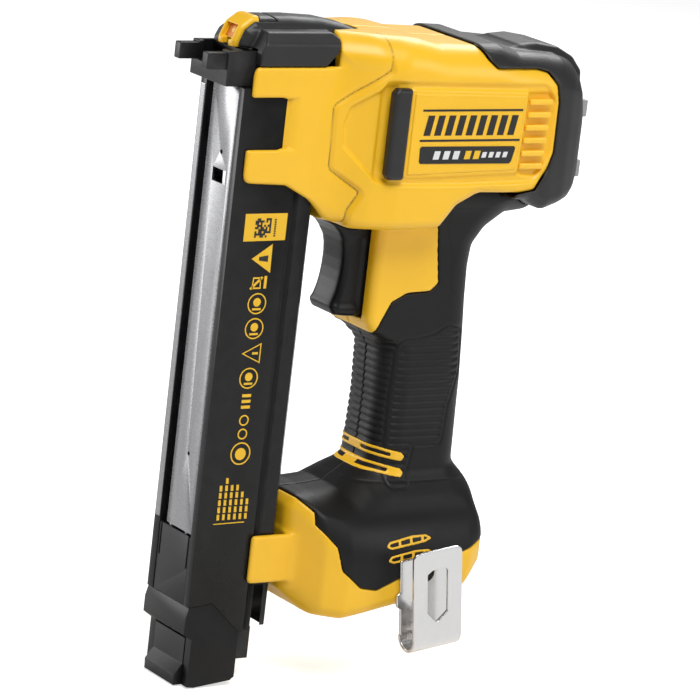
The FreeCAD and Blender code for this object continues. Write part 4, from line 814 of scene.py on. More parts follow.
# name: title, colour or (colour group's name, factor), roughness from and to, grain scale and
# depth, rubbed colour, dust, coat, gleam
PLASTICS = {
    "yellow": (
        "Yellow moulded casing", ("yellow", 1.0), 0.34, 0.46, 2100.0, 0.05,
        (1.0, 0.62, 0.05), 0.12, 0.12),
    "black": (
        "Black hard moulding", ("black", 0.5), 0.28, 0.42, 1900.0, 0.06,
        (0.03, 0.03, 0.03), 0.12, 0.0, 0.26),
    "cap": (
        "Black cap moulding", ("black", 1.25), 0.36, 0.5, 1700.0, 0.07,
        (0.06, 0.06, 0.06), 0.3, 0.0, 0.45),
    "rubber": (
        "Soft grip rubber", ("rubber", 0.45), 0.4, 0.54, 1500.0, 0.08,
        (0.03, 0.03, 0.031), 0.18, 0.0, 0.28),
    "gloss": (
        "Gloss black magazine", ("anodised", 1.0), 0.18, 0.28, 2600.0, 0.015,
        (0.03, 0.03, 0.03), 0.1, 0.0, 0.22),
    "tab": ("Grey rear tabs", (0.30, 0.30, 0.31), 0.4, 0.5, 1700.0, 0.05, (0.5, 0.5, 0.5), 0.3),
    "orange": ("Orange recess", (0.72, 0.20, 0.01), 0.4, 0.5, 2100.0, 0.04, (0.8, 0.3, 0.03), 0.2),
    "board": ("Coated board", (0.02, 0.14, 0.06), 0.3, 0.4, 900.0, 0.03, (0.05, 0.3, 0.12), 0.2),
    "wire": ("Red lead wire", (0.5, 0.03, 0.02), 0.4, 0.5, 900.0, 0.03, (0.7, 0.1, 0.08), 0.2),
}
# name: title, colour, roughness from and to, brushing along each axis, rubbed colour
METALS = {
    "satin": ("Satin drawer plate", (0.30, 0.30, 0.31), 0.22, 0.34, (60.0, 60.0, 900.0)),
    "hook_steel": ("Brushed hook steel", (0.72, 0.72, 0.72), 0.16, 0.28, (300.0, 40.0, 40.0)),
    "steel": ("Machined steel", ("steel", 1.0), 0.22, 0.36),
    "dark_steel": (
        "Blackened steel", (0.035, 0.035, 0.037), 0.28, 0.42, (900.0, 60.0, 60.0),
        (0.25, 0.25, 0.25)),
    "brass": ("Brass", ("brass", 1.0), 0.2, 0.32),
}
# name: title, colour, roughness
INKS = {
    "print_black": ("Black print", (0.012, 0.012, 0.013), 0.34),
    "print_yellow": ("Yellow print", (0.86, 0.50, 0.015), 0.38),
    "print_white": ("White print", (0.75, 0.75, 0.75), 0.38),
}
FINISHES = {}


def finish(name):
    """A finish by name, built when first asked for."""
    if name not in FINISHES:
        for maker, table in ((plastic, PLASTICS), (metal, METALS), (ink, INKS)):
            if name in table:
                title, colour, *values = table[name]
                if len(colour) == 2:
                    colour = scaled(getattr(colours(), colour[0]), colour[1])
                FINISHES[name] = maker(title, colour, *values)
    return FINISHES[name]


# Rows of like pieces by geometry nodes -------------------------------------------

def row_tree(name, part, material):
    """A tree that sets a row of one part along a line, as many times as asked."""
    tree = bpy.data.node_groups.new(name, "GeometryNodeTree")
    tree.interface.new_socket("Geometry", in_out="OUTPUT", socket_type="NodeSocketGeometry")
    count = tree.interface.new_socket("Count", in_out="INPUT", socket_type="NodeSocketInt")
    start = tree.interface.new_socket("Start", in_out="INPUT", socket_type="NodeSocketVector")
    pitch = tree.interface.new_socket("Pitch", in_out="INPUT", socket_type="NodeSocketVector")
    source = tree.nodes.new("NodeGroupInput")
    result = tree.nodes.new("NodeGroupOutput")
    line = tree.nodes.new("GeometryNodeMeshLine")
    line.mode = "OFFSET"
    tree.links.new(source.outputs["Count"], line.inputs["Count"])
    tree.links.new(source.outputs["Start"], line.inputs["Start Location"])
    tree.links.new(source.outputs["Pitch"], line.inputs["Offset"])
    info = tree.nodes.new("GeometryNodeObjectInfo")
    info.inputs["Object"].default_value = part
    spread = tree.nodes.new("GeometryNodeInstanceOnPoints")
    tree.links.new(line.outputs["Mesh"], spread.inputs["Points"])
    tree.links.new(info.outputs["Geometry"], spread.inputs["Instance"])
    real = tree.nodes.new("GeometryNodeRealizeInstances")
    tree.links.new(spread.outputs["Instances"], real.inputs["Geometry"])
    paint = tree.nodes.new("GeometryNodeSetMaterial")
    paint.inputs["Material"].default_value = material
    tree.links.new(real.outputs["Geometry"], paint.inputs["Geometry"])
    tree.links.new(paint.outputs["Geometry"], result.inputs["Geometry"])
    return tree, {"Count": count.identifier, "Start": start.identifier, "Pitch": pitch.identifier}


def row_of(name, part, material, count, start, pitch):
    """A plain mesh piece: count copies of part from start, pitch apart, in millimetres."""
    tree, keys = row_tree(name + "_row", part, material)
    holder = placed(name, bpy.data.meshes.new(name), None)
    modifier = holder.modifiers.new("Row", "NODES")
    modifier.node_group = tree
    modifier[keys["Count"]] = count
    modifier[keys["Start"]] = [v * MM for v in start]
    modifier[keys["Pitch"]] = [v * MM for v in pitch]
    applied(holder, material)
    bpy.data.objects.remove(part)
    return holder


def pad_mesh(name, outline, thick, edge=0.0):
    """A flat plate from an outline, its back on 0 and its front on thick; edge bevels it."""
    shell = bmesh.new()
    loop = [shell.verts.new((u * MM, 0.0, v * MM)) for u, v in outline]
    face = shell.faces.new(loop)
    out = bmesh.ops.extrude_face_region(shell, geom=[face])
    front = [v for v in out["geom"] if isinstance(v, bmesh.types.BMVert)]
    bmesh.ops.translate(shell, vec=(0.0, thick * MM, 0.0), verts=front)
    bmesh.ops.recalc_face_normals(shell, faces=shell.faces)
    if edge:
        rim = [e for e in shell.edges if e.calc_face_angle(0) > 0.6]
        bmesh.ops.bevel(shell, geom=rim, offset=edge * MM, segments=2, affect="EDGES", profile=0.5)
    mesh = bpy.data.meshes.new(name)
    shell.to_mesh(mesh)
    shell.free()
    return mesh


def combined(name, meshes, material, body, slot):
    """Several small meshes as one piece."""
    shell = bmesh.new()
    for mesh in meshes:
        shell.from_mesh(mesh)
        bpy.data.meshes.remove(mesh)
    joined = bpy.data.meshes.new(name)
    shell.to_mesh(joined)
    shell.free()
    return settle(placed(name, joined, material), body, slot)


def group_of(name, parts, step, look, body, slot):
    """Several small mouldings, each with its own field and room, as one piece."""
    meshes = []
    for field, low, high in parts:
        part = moulded("part", field, low, high, step, finish(look))
        meshes.append(part.data)
        bpy.data.objects.remove(part)
    return combined(name, meshes, finish(look), body, slot)


def ring(count, radius, cx, cz):
    """Points round a circle."""
    angles = [2 * math.pi * i / count for i in range(count)]
    return [(cx + radius * math.cos(a), cz + radius * math.sin(a)) for a in angles]


def rectangle(cx, cz, width, height, slant=0.0):
    """Four corners, the upper two moved along by slant."""
    w, h, s = width / 2, height / 2, slant
    return [(cx - w, cz - h), (cx + w, cz - h), (cx + w + s, cz + h), (cx - w + s, cz + h)]


def printed(points, y, thick=0.15):
    """A thin printed plate on a side face at y, its front away from the middle plane."""
    mesh = pad_mesh("print", points, thick)
    mesh.transform(Matrix.Translation((0.0, (y if y > 0 else y - thick) * MM, 0.0)))
    return mesh


# Operators, one for each piece or group of like pieces ----------------------------

class StaplerCasing(bpy.types.Operator):
    """Yellow casing halves"""
    bl_idname = "stapler.casing"
    bl_label = "Casing halves"

    def execute(self, context):
        low, high = (18.0, -38.6, -242.0), (170.0, 0.0, 14.5)
        for side in ("right", "left"):
            shaped(
                f"casing_{side}", yellow_form, low, high, sizes().casing_step, "yellow",
                "root", "yellow_plastic", f"housing_{side}", mirror=side == "left", lines=casing_seam_shade)
        return {"FINISHED"}


class StaplerGrip(bpy.types.Operator):
    """Rubber skin of the grip, running into the black cover of the foot"""
    bl_idname = "stapler.grip"
    bl_label = "Grip and foot skins"

    def execute(self, context):
        low, high = (63.0, -39.2, -228.0), (178.0, 0.0, -50.0)
        for side in ("right", "left"):
            shaped(
                f"grip_skin_{side}", rubber_form, low, high, sizes().skin_step, "rubber",
                "root", "black_rubber", f"grip_overmold_{side}", f"foot_cover_{side}",
                mirror=side == "left", lines=skin_lines)
        return {"FINISHED"}


class StaplerCover(bpy.types.Operator):
    """Black cover over the nose"""
    bl_idname = "stapler.cover"
    bl_label = "Top cover"

    def execute(self, context):
        def field(x, y, z):
            form = hollow_cover(x, y, z)
            across = np.abs(y)
            room = np.maximum(np.maximum(across - 15.0, z - 5.2), x - 61.0)
            form = carve(form, room, 0.4)
            form = np.maximum(form, -1.0 - z)
            latch = np.maximum(LATCH_ZONE(x, z) - 0.3, -4.2 - RIDGE_SIDE(x, z))
            swing = np.hypot(x - LATCH_PIVOT[0], z - LATCH_PIVOT[1]) - 5.4
            form = carve(form, np.maximum(np.minimum(latch, swing), across - 7.4), 0.4)
            seam = 0.35 * np.exp(-(z - 13.0) ** 2 / 0.12) * ramp((across - 8.0) / 2.0)
            return form + seam
        shaped(
            "nose_cover_moulding", field, (15.0, -20.0, -1.5), (83.0, 20.0, 18.0), 0.42, "cap",
            "root", "black_plastic", "top_cover")
        return {"FINISHED"}


class StaplerLatch(bpy.types.Operator):
    """Yellow jam release latch with its orange recess"""
    bl_idname = "stapler.latch"
    bl_label = "Release latch"

    def execute(self, context):
        def field(x, y, z):
            across = np.abs(y)
            band = meet(across - 6.8, RIDGE_SIDE(x, z) - 0.3, 2.2)
            band = meet(band, -3.6 - RIDGE_SIDE(x, z), 0.3)
            form = meet(band, LATCH_ZONE(x, z), 0.5)
            form = np.maximum(form, x - 27.2)
            pocket = np.maximum(across - 4.2, np.abs(z - 10.4) - 3.0)
            pocket = np.maximum(pocket, -1.8 - RIDGE_SIDE(x, z))
            form = carve(form, np.maximum(pocket, x - 24.0), 0.4)
            notch = np.maximum(np.maximum(across - 2.4, z - 7.2), x - 26.0)
            return carve(form, notch, 0.4)
        shaped(
            "release_latch", field, (14.0, -8.0, 3.6), (36.0, 8.0, 19.0), 0.3, "yellow",
            "jam_latch", "yellow_plastic", "jam_release_latch")

        def knuckle(x, y, z):
            round_pivot = np.hypot(x - LATCH_PIVOT[0], z - LATCH_PIVOT[1]) - 5.1
            form = meet(meet(np.abs(y) - 10.6, RIDGE_SIDE(x, z), 7.5), round_pivot, 0.3)
            return np.maximum(meet(form, np.abs(y) - 7.0, 0.3), 27.3 - x)
        shaped(
            "release_latch_knuckle", knuckle, (26.0, -7.6, 7.0), (37.0, 7.6, 18.6), 0.3, "cap",
            "jam_latch", "black_plastic")

        def insert(x, y, z):
            form = meet(RIDGE_SIDE(x, z) + 1.7, np.abs(y) - 4.0, 0.3)
            form = meet(form, np.maximum(np.abs(z - 10.4) - 2.8, -3.0 - RIDGE_SIDE(x, z)), 0.3)
            return carve(np.maximum(form, x - 24.0), np.hypot(y, z - 10.8) - 1.1, 0.2)
        shaped(
            "release_latch_recess", insert, (14.0, -5.0, 6.0), (26.0, 5.0, 15.0), 0.3, "orange",
            "jam_latch", "yellow_plastic")
        return {"FINISHED"}


class StaplerCap(bpy.types.Operator):
    """Black motor cap with its rear tabs"""
    bl_idname = "stapler.cap"
    bl_label = "Rear cap"

    def execute(self, context):
        shaped(
            "motor_cap", rear_cap_form, (125.0, -35.4, -67.0), (192.0, 35.4, 14.6), 0.6, "cap",
            "root", "black_plastic", "rear_cap")
        tabs = []
        for sign in (-1, 1):
            for top in TAB_TOPS:
                def field(x, y, z, sign=sign, top=top):
                    form = block(x, y * sign, z, (183.0, 17.4, top - 7.4), (190.2, 22.4, top))
                    slot = block(x, y * sign, z, (187.5, 18.8, top - 5.4), (195.0, 21.0, top - 2.0))
                    return carve(form, slot, 0.3)
                y0, y1 = sorted((sign * 16.5, sign * 23.4))
                tabs.append((field, (182.0, y0, top - 8.6), (192.4, y1, top + 1.2)))
        group_of("rear_tabs", tabs, 0.4, "tab", "root", "black_plastic")
        return {"FINISHED"}


class StaplerBumpers(bpy.types.Operator):
    """Upright side bumpers and the ribs behind the panel"""
    bl_idname = "stapler.bumpers"
    bl_label = "Bumpers and ribs"

    def execute(self, context):
        def field(x, y, z):
            form = meet(BUMPER_SIDE(x, z), np.abs(y) - 35.1, 1.8)
            return np.maximum(form, 30.9 - np.abs(y))
        shaped(
            "upright_bumpers", field, (79.0, -35.6, -48.0), (91.0, 35.6, -6.0), 0.45, "cap",
            "root", "black_plastic", "side_bumpers")
        for side, sign in (("right", -1), ("left", 1)):
            mesh = pad_mesh("rib", rectangle(0.0, 0.0, 12.0, 2.5), 1.7, edge=0.6)
            if sign < 0:
                mesh.transform(Matrix.Rotation(math.pi, 4, "X"))
            part = placed("rib_part", mesh, finish("yellow"))
            ribs = row_of(
                f"side_ribs_{side}", part, finish("yellow"), sizes().side_ribs,
                (157.6, sign * 31.5, -13.6), (-0.35, 0.0, -5.6))
            settle(ribs, "root", "yellow_plastic")
        return {"FINISHED"}


class StaplerPanels(bpy.types.Operator):
    """Side panels with a plain printed band"""
    bl_idname = "stapler.panels"
    bl_label = "Side panels"

    def execute(self, context):
        band = [
            (97.6, -39.6), (143.4, -39.9), (144.4, -38.9), (145.8, -33.2), (145.0, -32.4),
            (97.4, -32.2), (96.6, -33.0), (96.8, -38.9),
        ]
        marks = {"white": [(105.0 + 5.0 * i, 3.0, 3.6, 0.8) for i in range(3)]}
        marks["white"] += [(129.6 + 3.6 * i, 2.2, 2.4, 0.6) for i in range(4)]
        marks["yellow"] = [(121.0 + 4.6 * i, 3.0, 3.6, 0.8) for i in range(2)]
        black, raised = [], {"white": [], "yellow": []}
        for sign in (-1, 1):
            face = sign * PANEL_FACE
            for z in (-16.7, -29.7):
                black.append(printed(rectangle(121.8, z, 51.6, 0.85), face))
            for index in range(9):
                black.append(printed(rectangle(99.2 + 5.4 * index, -23.2, 3.3, 8.6, 1.6), face))
            black.append(printed(band, face, 0.22))
            for colour, row in marks.items():
                for cx, width, height, slant in row:
                    mark = rectangle(cx, MARK_LEVEL, width, height, slant)
                    raised[colour].append(printed(mark, face + sign * 0.1, 0.2))
        combined("panel_bars", black, finish("print_black"), "root", "black_plastic")
        for colour, slot in (("white", "black_plastic"), ("yellow", "yellow_plastic")):
            combined(
                f"panel_marks_{colour}", raised[colour], finish(f"print_{colour}"), "root", slot)
        plates = []
        for sign in (-1, 1):
            def field(x, y, z, sign=sign):
                return meet(PANEL(x, z) + 1.6, np.abs(y * sign - 32.5) - 1.15, 0.4)
            y0, y1 = sorted((sign * 31.0, sign * 34.0))
            plates.append((field, (89.0, y0, -48.0), (152.0, y1, -7.0)))
        piece = group_of("panel_plates", plates, 0.55, "yellow", "root", "yellow_plastic")
        piece.data.shade_smooth()
        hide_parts("side_panels")
        return {"FINISHED"}


class StaplerTrigger(bpy.types.Operator):
    """Finger trigger"""
    bl_idname = "stapler.trigger"
    bl_label = "Trigger"

    def execute(self, context):
        def field(x, y, z):
            across = np.abs(y)
            form = meet(across - 10.6, TRIGGER_SIDE(x, z), 3.2)
            sides = 0.9 * ramp((91.0 - x) / 2.0) * np.exp(-((across - 10.6) / 2.6) ** 2)
            return form + sides * ramp((-76.0 - z) / 4.0) * ramp((z + 109.0) / 4.0)
        shaped(
            "finger_trigger", field, (71.0, -11.2, -113.0), (99.5, 11.2, -69.0), 0.42, "black",
            "trigger", "black_plastic", "trigger")
        return {"FINISHED"}


class StaplerGripRings(bpy.types.Operator):
    """Yellow slotted rings at the grip's base and the leaf vents of the foot"""
    bl_idname = "stapler.rings"
    bl_label = "Rings and vents"

    def execute(self, context):
        rings = []
        for offset in (0.0, -7.0):
            band = Outline([
                (96.0, -168.6 + offset), (107.0, -169.4 + offset), (116.6, -171.4 + offset),
                (118.4, -173.2 + offset), (116.8, -175.2 + offset), (106.0, -173.4 + offset),
                (96.0, -172.6 + offset),
            ], 1.0)

            def field(x, y, z, band=band):
                form = handle_form(x, y, z)
                shell = meet(meet(form - 0.45, -1.2 - form, 0.3), band(x, z), 0.4)
                slot = np.maximum(band(x, z) + 1.25, np.abs(np.abs(y) - 11.0) - 6.5)
                return carve(shell, slot, 0.2)
            rings.append((field, (95.0, -20.0, -188.0), (121.0, 20.0, -168.0)))
        piece = group_of("grip_rings", rings, 0.4, "yellow", "root", "yellow_plastic")
        piece.data.shade_smooth()
        leaves = []
        for level, start in ((-206.6, 101.6), (-212.6, 102.4)):
            leaf = Outline([
                (start, level - 1.2), (start + 2.0, level + 0.9), (start + 14.0, level + 2.9),
                (start + 21.0, level + 3.0), (start + 24.6, level + 1.4), (start + 20.0, level - 0.2),
                (start + 3.0, level - 2.4),
            ], 0.8)
            for sign in (-1, 1):
                def field(x, y, z, leaf=leaf, start=start):
                    form = foot_form(x, y, z)
                    shell = meet(meet(form - 0.6, -1.2 - form, 0.2), leaf(x, z), 0.3)
                    row = np.abs(np.mod(x - start - 1.2, 6.0) - 3.0) - 2.3
                    slots = np.maximum(leaf(x, z) + 1.0, row)
                    return carve(shell, slots, 0.2)
                y0, y1 = sorted((sign * 24.0, sign * 40.0))
                low, high = (start - 1.0, y0, level - 4.0), (start + 26.0, y1, level + 4.5)
                leaves.append((field, low, high))
        piece = group_of("foot_vent_bars", leaves, 0.35, "yellow", "root", "yellow_plastic")
        piece.data.shade_smooth()
        return {"FINISHED"}


class StaplerHook(bpy.types.Operator):
    """Bent steel belt hook and its screw"""
    bl_idname = "stapler.hook"
    bl_label = "Belt hook"

    def execute(self, context):
        foot = sizes().foot_half + 0.1
        thick, radius, lean = 1.6, 4.75, math.radians(7.5)
        pivot = (121.0, -219.0)
        centre = -(foot + thick + radius)
        middle = radius + thick / 2
        bend = -27.0
        blade = Outline([(-12.5, -45), (12.5, -45), (12.5, 13.4), (-12.5, 13.4)], 3.4)
        inner_blade = Outline([
            (-12.0, -45), (12.5, -45), (12.5, 7.0), (-12.0, 7.0), (-12.0, -7.5), (-13.9, -8.5),
            (-13.9, -14.0), (-12.0, -15.0),
        ], 0.8)
        slot = Outline([
            (-5.3, 2.8), (-2.6, 4.4), (3.8, 4.4), (5.1, 3.2), (5.1, -15.4), (-0.4, -19.7),
            (-5.3, -14.4),
        ], 0.7)

        def local(x, z):
            dx, dz = x - pivot[0], z - pivot[1]
            c, s = math.cos(lean), math.sin(lean)
            return dx * c + dz * s, dz * c - dx * s

        def field(x, y, z):
            u, w = local(x, z)
            arc = np.maximum(np.abs(np.hypot(y - centre, w - bend) - middle) - thick / 2, w - bend)
            outer = np.maximum(np.abs(y - centre + middle) - thick / 2, bend - w)
            inner = np.maximum(np.abs(y - centre - middle) - thick / 2, bend - w)
            front = meet(np.minimum(arc, outer), blade(u, w), 0.35)
            form = np.minimum(front, meet(inner, inner_blade(u, w), 0.35))
            form = carve(form, np.maximum(slot(u, w), y - centre), 0.3)
            return carve(form, np.maximum(np.hypot(u, w) - 2.1, centre - y), 0.2)
        shaped(
            "bent_belt_hook", field, (103.0, centre - 7.0, -254.5), (139.5, -37.6, -203.5), 0.34,
            "hook_steel",
            "root", "satin_steel", "belt_hook")

        def screw(x, y, z):
            away = np.hypot(x - pivot[0], z - pivot[1])
            form = meet(away - 4.2, np.abs(y + foot + thick + 1.2) - 1.2, 0.7)
            shank = np.maximum(away - 1.95, np.abs(y + foot - 2.0) - 5.0)
            socket = np.maximum(away - 1.7, y + foot + thick + 1.2)
            return carve(np.minimum(form, shank), socket, 0.2)
        shaped(
            "hook_screw_head", screw, (116.0, -43.5, -224.0), (126.0, -31.0, -214.0), 0.3, "dark_steel",
            "root", "satin_steel", "hook_screw")
        return {"FINISHED"}


class StaplerMagazine(bpy.types.Operator):
    """Magazine profile, drawer plates, end cap and press latch"""
    bl_idname = "stapler.magazine"
    bl_label = "Magazine"

    def execute(self, context):
        eased("magazine_profile", "magazine_track", "root", "black_aluminium", 0.4, "gloss")
        rail = Outline([(12.9, -14.6), (16.9, -14.6), (16.9, -203.6), (12.9, -203.6)], 0.4)
        shaped(
            "front_rail_strip", lambda x, y, z: meet(np.abs(x - 16.95) - 0.2, rail(y, z), 0.15),
            (16.4, 12.4, -204.4), (17.4, 17.4, -13.8), 0.3, "satin", "root", "satin_steel")
        eased("drawer_front_plate", "magazine_front_plate", "drawer", "satin_steel", 0.25, "satin")
        eased("drawer_lower_plate", "magazine_lower_plate", "drawer", "black_plastic", 0.35, "black")
        eased("drawer_end_cap", "end_cap", "drawer", "black_plastic", 0.8, "black", segments=3)
        eased(
            "drawer_press_latch", "magazine_latch", "drawer_latch", "black_plastic", 0.6, "black",
            segments=3)
        return {"FINISHED"}


class StaplerNose(bpy.types.Operator):
    """Forked cable guide and the steel nose behind it"""
    bl_idname = "stapler.nose"
    bl_label = "Nose"

    def execute(self, context):
        eased("cable_fork", "work_contact", "contact", "black_plastic", 0.5, "black", segments=3)
        eased("nose_block", "nose_body", "root", "satin_steel", 0.25, "dark_steel")
        eased("nose_lid", "nose_cover", "root", "satin_steel", 0.2, "dark_steel")
        return {"FINISHED"}


class StaplerLabel(bpy.types.Operator):
    """Printed pictogram column on the magazine's right side"""
    bl_idname = "stapler.label"
    bl_label = "Magazine label"

    def execute(self, context):
        yellow, dark = [], []

        def put(points, level=0, store=yellow):
            store.append(printed(points, LABEL_FACE - LABEL_LAYER * level, LABEL_INK))

        def hoop(cx, cz, radius, width=0.7):
            """A printed circle, as a chain of short bars."""
            count = 20
            outer, inner = ring(count, radius, cx, cz), ring(count, radius - width, cx, cz)
            for i in range(count):
                j = (i + 1) % count
                put([outer[i], outer[j], inner[j], inner[i]])

        def frame_of(points, width=0.8):
            """A printed outline, as one bar for each side."""
            cx = sum(p[0] for p in points) / len(points)
            cz = sum(p[1] for p in points) / len(points)
            reach = max(math.hypot(p[0] - cx, p[1] - cz) for p in points)
            share = 1 - 1.7 * width / reach
            inner = [(cx + (px - cx) * share, cz + (pz - cz) * share) for px, pz in points]
            for i in range(len(points)):
                j = (i + 1) % len(points)
                put([points[i], points[j], inner[j], inner[i]])

        put([(24.4, -75.6), (45.0, -75.4), (45.0, -63.8), (24.3, -63.8)])
        rng = np.random.default_rng(7)
        for row in range(9):
            for column in range(9):
                edge = row in (0, 8) or column in (0, 8)
                if rng.random() < (0.7 if edge else 0.55):
                    put(rectangle(29.9 + 0.88 * column, -73.6 + 0.92 * row, 0.84, 0.88), 1, dark)
        for row in range(8):
            put(rectangle(39.4, -73.4 + 0.98 * row, 0.9, 0.6), 1, dark)
        put([(29.6, -83.2), (39.4, -89.4), (39.2, -77.0)])
        put([(33.2, -83.9), (37.6, -84.6), (37.6, -81.8), (33.2, -82.4)], 1, dark)
        put(rectangle(37.6, -93.4, 1.3, 5.4))
        frame_of([(31.0, -96.2), (35.6, -96.2), (35.2, -91.2), (31.4, -91.2)], 0.5)
        put([(30.0, -96.0), (30.9, -96.6), (36.4, -91.4), (35.5, -90.8)])
        for cz in (-102.6, -113.4, -135.0):
            hoop(LABEL_COLUMN, cz, 4.6, 0.55)
            put(ring(10, 1.9, LABEL_COLUMN, cz + 0.6))
            put(rectangle(LABEL_COLUMN, cz - 2.4, 4.2, 0.9))
        frame_of([(29.8, -124.2), (39.2, -128.6), (39.2, -119.8)], 0.6)
        put(rectangle(36.4, -124.2, 2.8, 1.0))
        for index in range(3):
            put(rectangle(LABEL_COLUMN, -142.6 - 2.5 * index, 4.4, 1.3))
        for cz in (-153.4, -159.4):
            hoop(LABEL_COLUMN, cz, 2.4, 0.6)
        hoop(34.7, -168.0, 5.0, 0.6)
        put(ring(12, 2.7, 34.7, -168.2))
        lengths = (19.0, 20.4, 17.6, 18.6, 13.4, 10.2)
        for index, length in enumerate(lengths):
            pieces = int(length / 3.2)
            for part in range(pieces):
                put(rectangle(27.0 + 2.75 * index, -195.8 + 3.2 * part, 1.25, 2.5, -0.15))
        put([(25.0, -198.9), (40.4, -198.7), (40.4, -198.3), (25.0, -198.5)])
        combined("label_marks", yellow, finish("print_yellow"), "root", "black_aluminium")
        combined("label_code_squares", dark, finish("print_black"), "root", "black_aluminium")
        return {"FINISHED"}


class StaplerFasteners(bpy.types.Operator):
    """Recessed casing screws, on the left side"""
    bl_idname = "stapler.fasteners"
    bl_label = "Casing screws"

    def execute(self, context):
        eased("casing_screws", "housing_screws", "root", "satin_steel", 0.15, "dark_steel")
        return {"FINISHED"}


CARRIED = {
    "black": ("cooling_fan", "staple_pusher", "trigger_switch", "terminal_block", "gear_case"),
    "rubber": ("front_bumper",),
    "steel": (
        "bearings", "bevel_pinion", "contact_springs", "crown_gear", "drive_springs",
        "driver_blade", "driver_carrier", "frame_plates", "guide_rods", "jam_release_pin",
        "latch_pin", "latch_spring", "lifter_shaft", "lifter_wheel", "motor_can", "motor_pinion",
        "motor_rotor", "motor_stator", "nose_screws", "planet_carrier", "planet_gear_1",
        "planet_gear_2", "planet_gear_3", "pusher_spring", "staple_rail", "staple_strip",
        "trigger_spring",
    ),
    "brass": ("hook_inserts", "terminal_blades"),
    "board": ("control_board",),
    "wire": ("lead_wires",),
}


class StaplerInnerParts(bpy.types.Operator):
    """Finishes of the parts carried over from CAD"""
    bl_idname = "stapler.inner"
    bl_label = "Inner parts"

    def execute(self, context):
        for kind, names in CARRIED.items():
            for name in names:
                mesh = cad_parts[name].data
                mesh.materials.clear()
                mesh.materials.append(finish(kind))
        return {"FINISHED"}


# turn and rise about the tool, then roll, in degrees; place in metres
CAMERA_ANGLES = (-34.6, 13.44, 6.66)
CAMERA_PLACE = (-0.9374, -1.4984, 0.3055)
CAMERA_SENSOR, CAMERA_LENS = 36.0, 223.1
# name, place from the tool's middle and size in metres, power in watts
LAMPS = (
    ("key", (-0.35, -0.9, 1.5), 0.9, 22.0), ("plate", (-1.1, 1.3, 0.25), 1.0, 13.0),
    ("rim", (1.0, 0.9, 1.1), 0.7, 12.0), ("side", (1.1, -1.3, 0.7), 0.7, 6.0),
)
SKY_ON_TOOL, SKY_SEEN = 0.22, 1.0


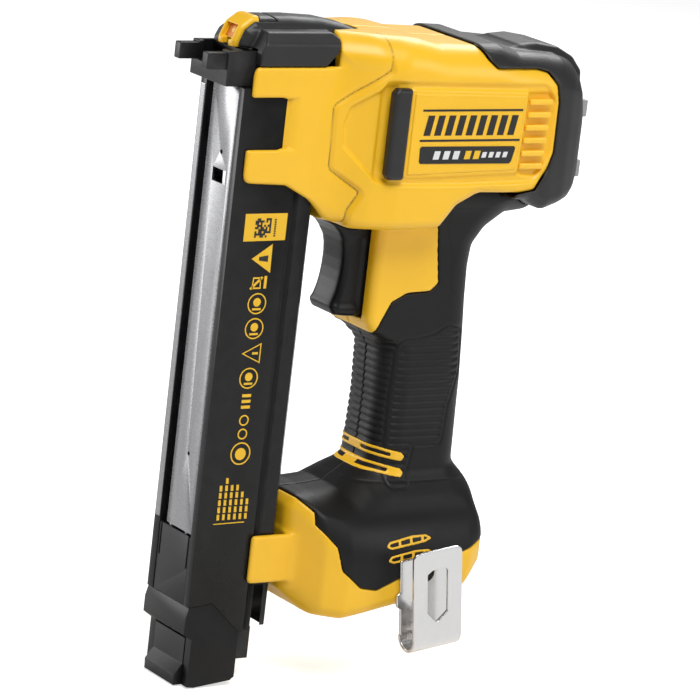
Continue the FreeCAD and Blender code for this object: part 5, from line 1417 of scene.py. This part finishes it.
class StaplerStage(bpy.types.Operator):
    """Floor, lights and camera"""
    bl_idname = "stapler.stage"
    bl_label = "Studio"

    def execute(self, context):
        scene = bpy.context.scene
        low, high = (Vector(corner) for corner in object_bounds())
        floor_mesh = bpy.data.meshes.new("floor")
        reach = 6.0
        level = low.z - 0.0005
        floor_mesh.from_pydata(
            [(x, y, level) for x, y in rectangle(0.0, 0.0, 2 * reach, 2 * reach)], [], [(0, 1, 2, 3)])
        material, tree, shader = bare_material("Studio floor")
        grain = use_group(tree, "grain", grain_scale=40.0, drift_scale=2.0)
        tone = tuple(colours().floor)
        tree.links.new(
            mix_colour(tree, grain.outputs["Drift"], scaled(tone, 0.99), scaled(tone, 1.01)),
            shader.inputs["Base Color"])
        shader.inputs["Roughness"].default_value = 0.9
        shader.inputs["Emission Color"].default_value = (1.0, 1.0, 1.0, 1.0)
        seen_floor = tree.nodes.new("ShaderNodeLightPath").outputs["Is Camera Ray"]
        glow = math_node(tree, "MULTIPLY", seen_floor, 0.6)
        tree.links.new(glow, shader.inputs["Emission Strength"])
        floor = placed("floor", floor_mesh, material)
        floor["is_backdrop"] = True
        middle = (low + high) / 2
        for name, place, size, power in LAMPS:
            lamp = bpy.data.lights.new(name, "AREA")
            lamp.energy = power
            lamp.size = size
            holder = bpy.data.objects.new(name, lamp)
            holder.location = middle + Vector(place)
            aim = middle - holder.location
            holder.rotation_euler = aim.to_track_quat("-Z", "Y").to_euler()
            scene.collection.objects.link(holder)
        world = bpy.data.worlds.new("Studio")
        world.use_nodes = True
        sky = world.node_tree
        backdrop = sky.nodes["Background"]
        backdrop.inputs["Color"].default_value = (1.0, 1.0, 1.0, 1.0)
        seen = sky.nodes.new("ShaderNodeLightPath").outputs["Is Camera Ray"]
        level_of = sky.nodes.new("ShaderNodeMapRange")
        level_of.inputs["To Min"].default_value = SKY_ON_TOOL
        level_of.inputs["To Max"].default_value = SKY_SEEN
        sky.links.new(seen, level_of.inputs["Value"])
        sky.links.new(level_of.outputs[0], backdrop.inputs["Strength"])
        scene.world = world
        scene.view_settings.view_transform = "Standard"

        turn, rise, roll = (math.radians(angle) for angle in CAMERA_ANGLES)
        flat = math.cos(rise)
        back = Vector((math.sin(turn) * flat, -math.cos(turn) * flat, math.sin(rise)))
        level_right = (-back).cross(Vector((0, 0, 1))).normalized()
        level_up = level_right.cross(-back)
        right = level_right * math.cos(roll) + level_up * math.sin(roll)
        up = level_up * math.cos(roll) - level_right * math.sin(roll)
        camera_data = bpy.data.cameras.new("camera")
        camera_data.sensor_width = CAMERA_SENSOR
        camera_data.lens = CAMERA_LENS
        camera = bpy.data.objects.new("camera", camera_data)
        rotation = Matrix((right, up, back)).transposed()
        camera.matrix_world = Matrix.Translation(CAMERA_PLACE) @ rotation.to_4x4()
        scene.collection.objects.link(camera)
        scene.camera = camera
        return {"FINISHED"}


class StaplerPanel(bpy.types.Panel):
    """Lists the stapler's pieces, sizes and colours"""
    bl_idname = "VIEW3D_PT_stapler"
    bl_label = "Stapler"
    bl_space_type = "VIEW_3D"
    bl_region_type = "UI"
    bl_category = "Stapler"

    def draw(self, context):
        for group in (context.scene.stapler_sizes, context.scene.stapler_colours):
            for name in group.__annotations__:
                self.layout.prop(group, name)
        for operator in OPERATORS:
            self.layout.operator(operator.bl_idname)


OPERATORS = (
    StaplerCasing, StaplerGrip, StaplerCover, StaplerLatch, StaplerCap, StaplerBumpers,
    StaplerPanels, StaplerTrigger, StaplerGripRings, StaplerHook, StaplerMagazine, StaplerNose,
    StaplerLabel, StaplerFasteners, StaplerInnerParts, StaplerStage,
)
CLASSES = (StaplerSizes, StaplerColours, *OPERATORS, StaplerPanel)


def register():
    for one in CLASSES:
        bpy.utils.register_class(one)
    bpy.types.Scene.stapler_sizes = PointerProperty(type=StaplerSizes)
    bpy.types.Scene.stapler_colours = PointerProperty(type=StaplerColours)


def unregister():
    del bpy.types.Scene.stapler_colours
    del bpy.types.Scene.stapler_sizes
    for one in reversed(CLASSES):
        bpy.utils.unregister_class(one)


def main():
    register()
    for operator in OPERATORS:
        group, name = operator.bl_idname.split(".")
        getattr(getattr(bpy.ops, group), name)()


if __name__ == "__main__":
    main()
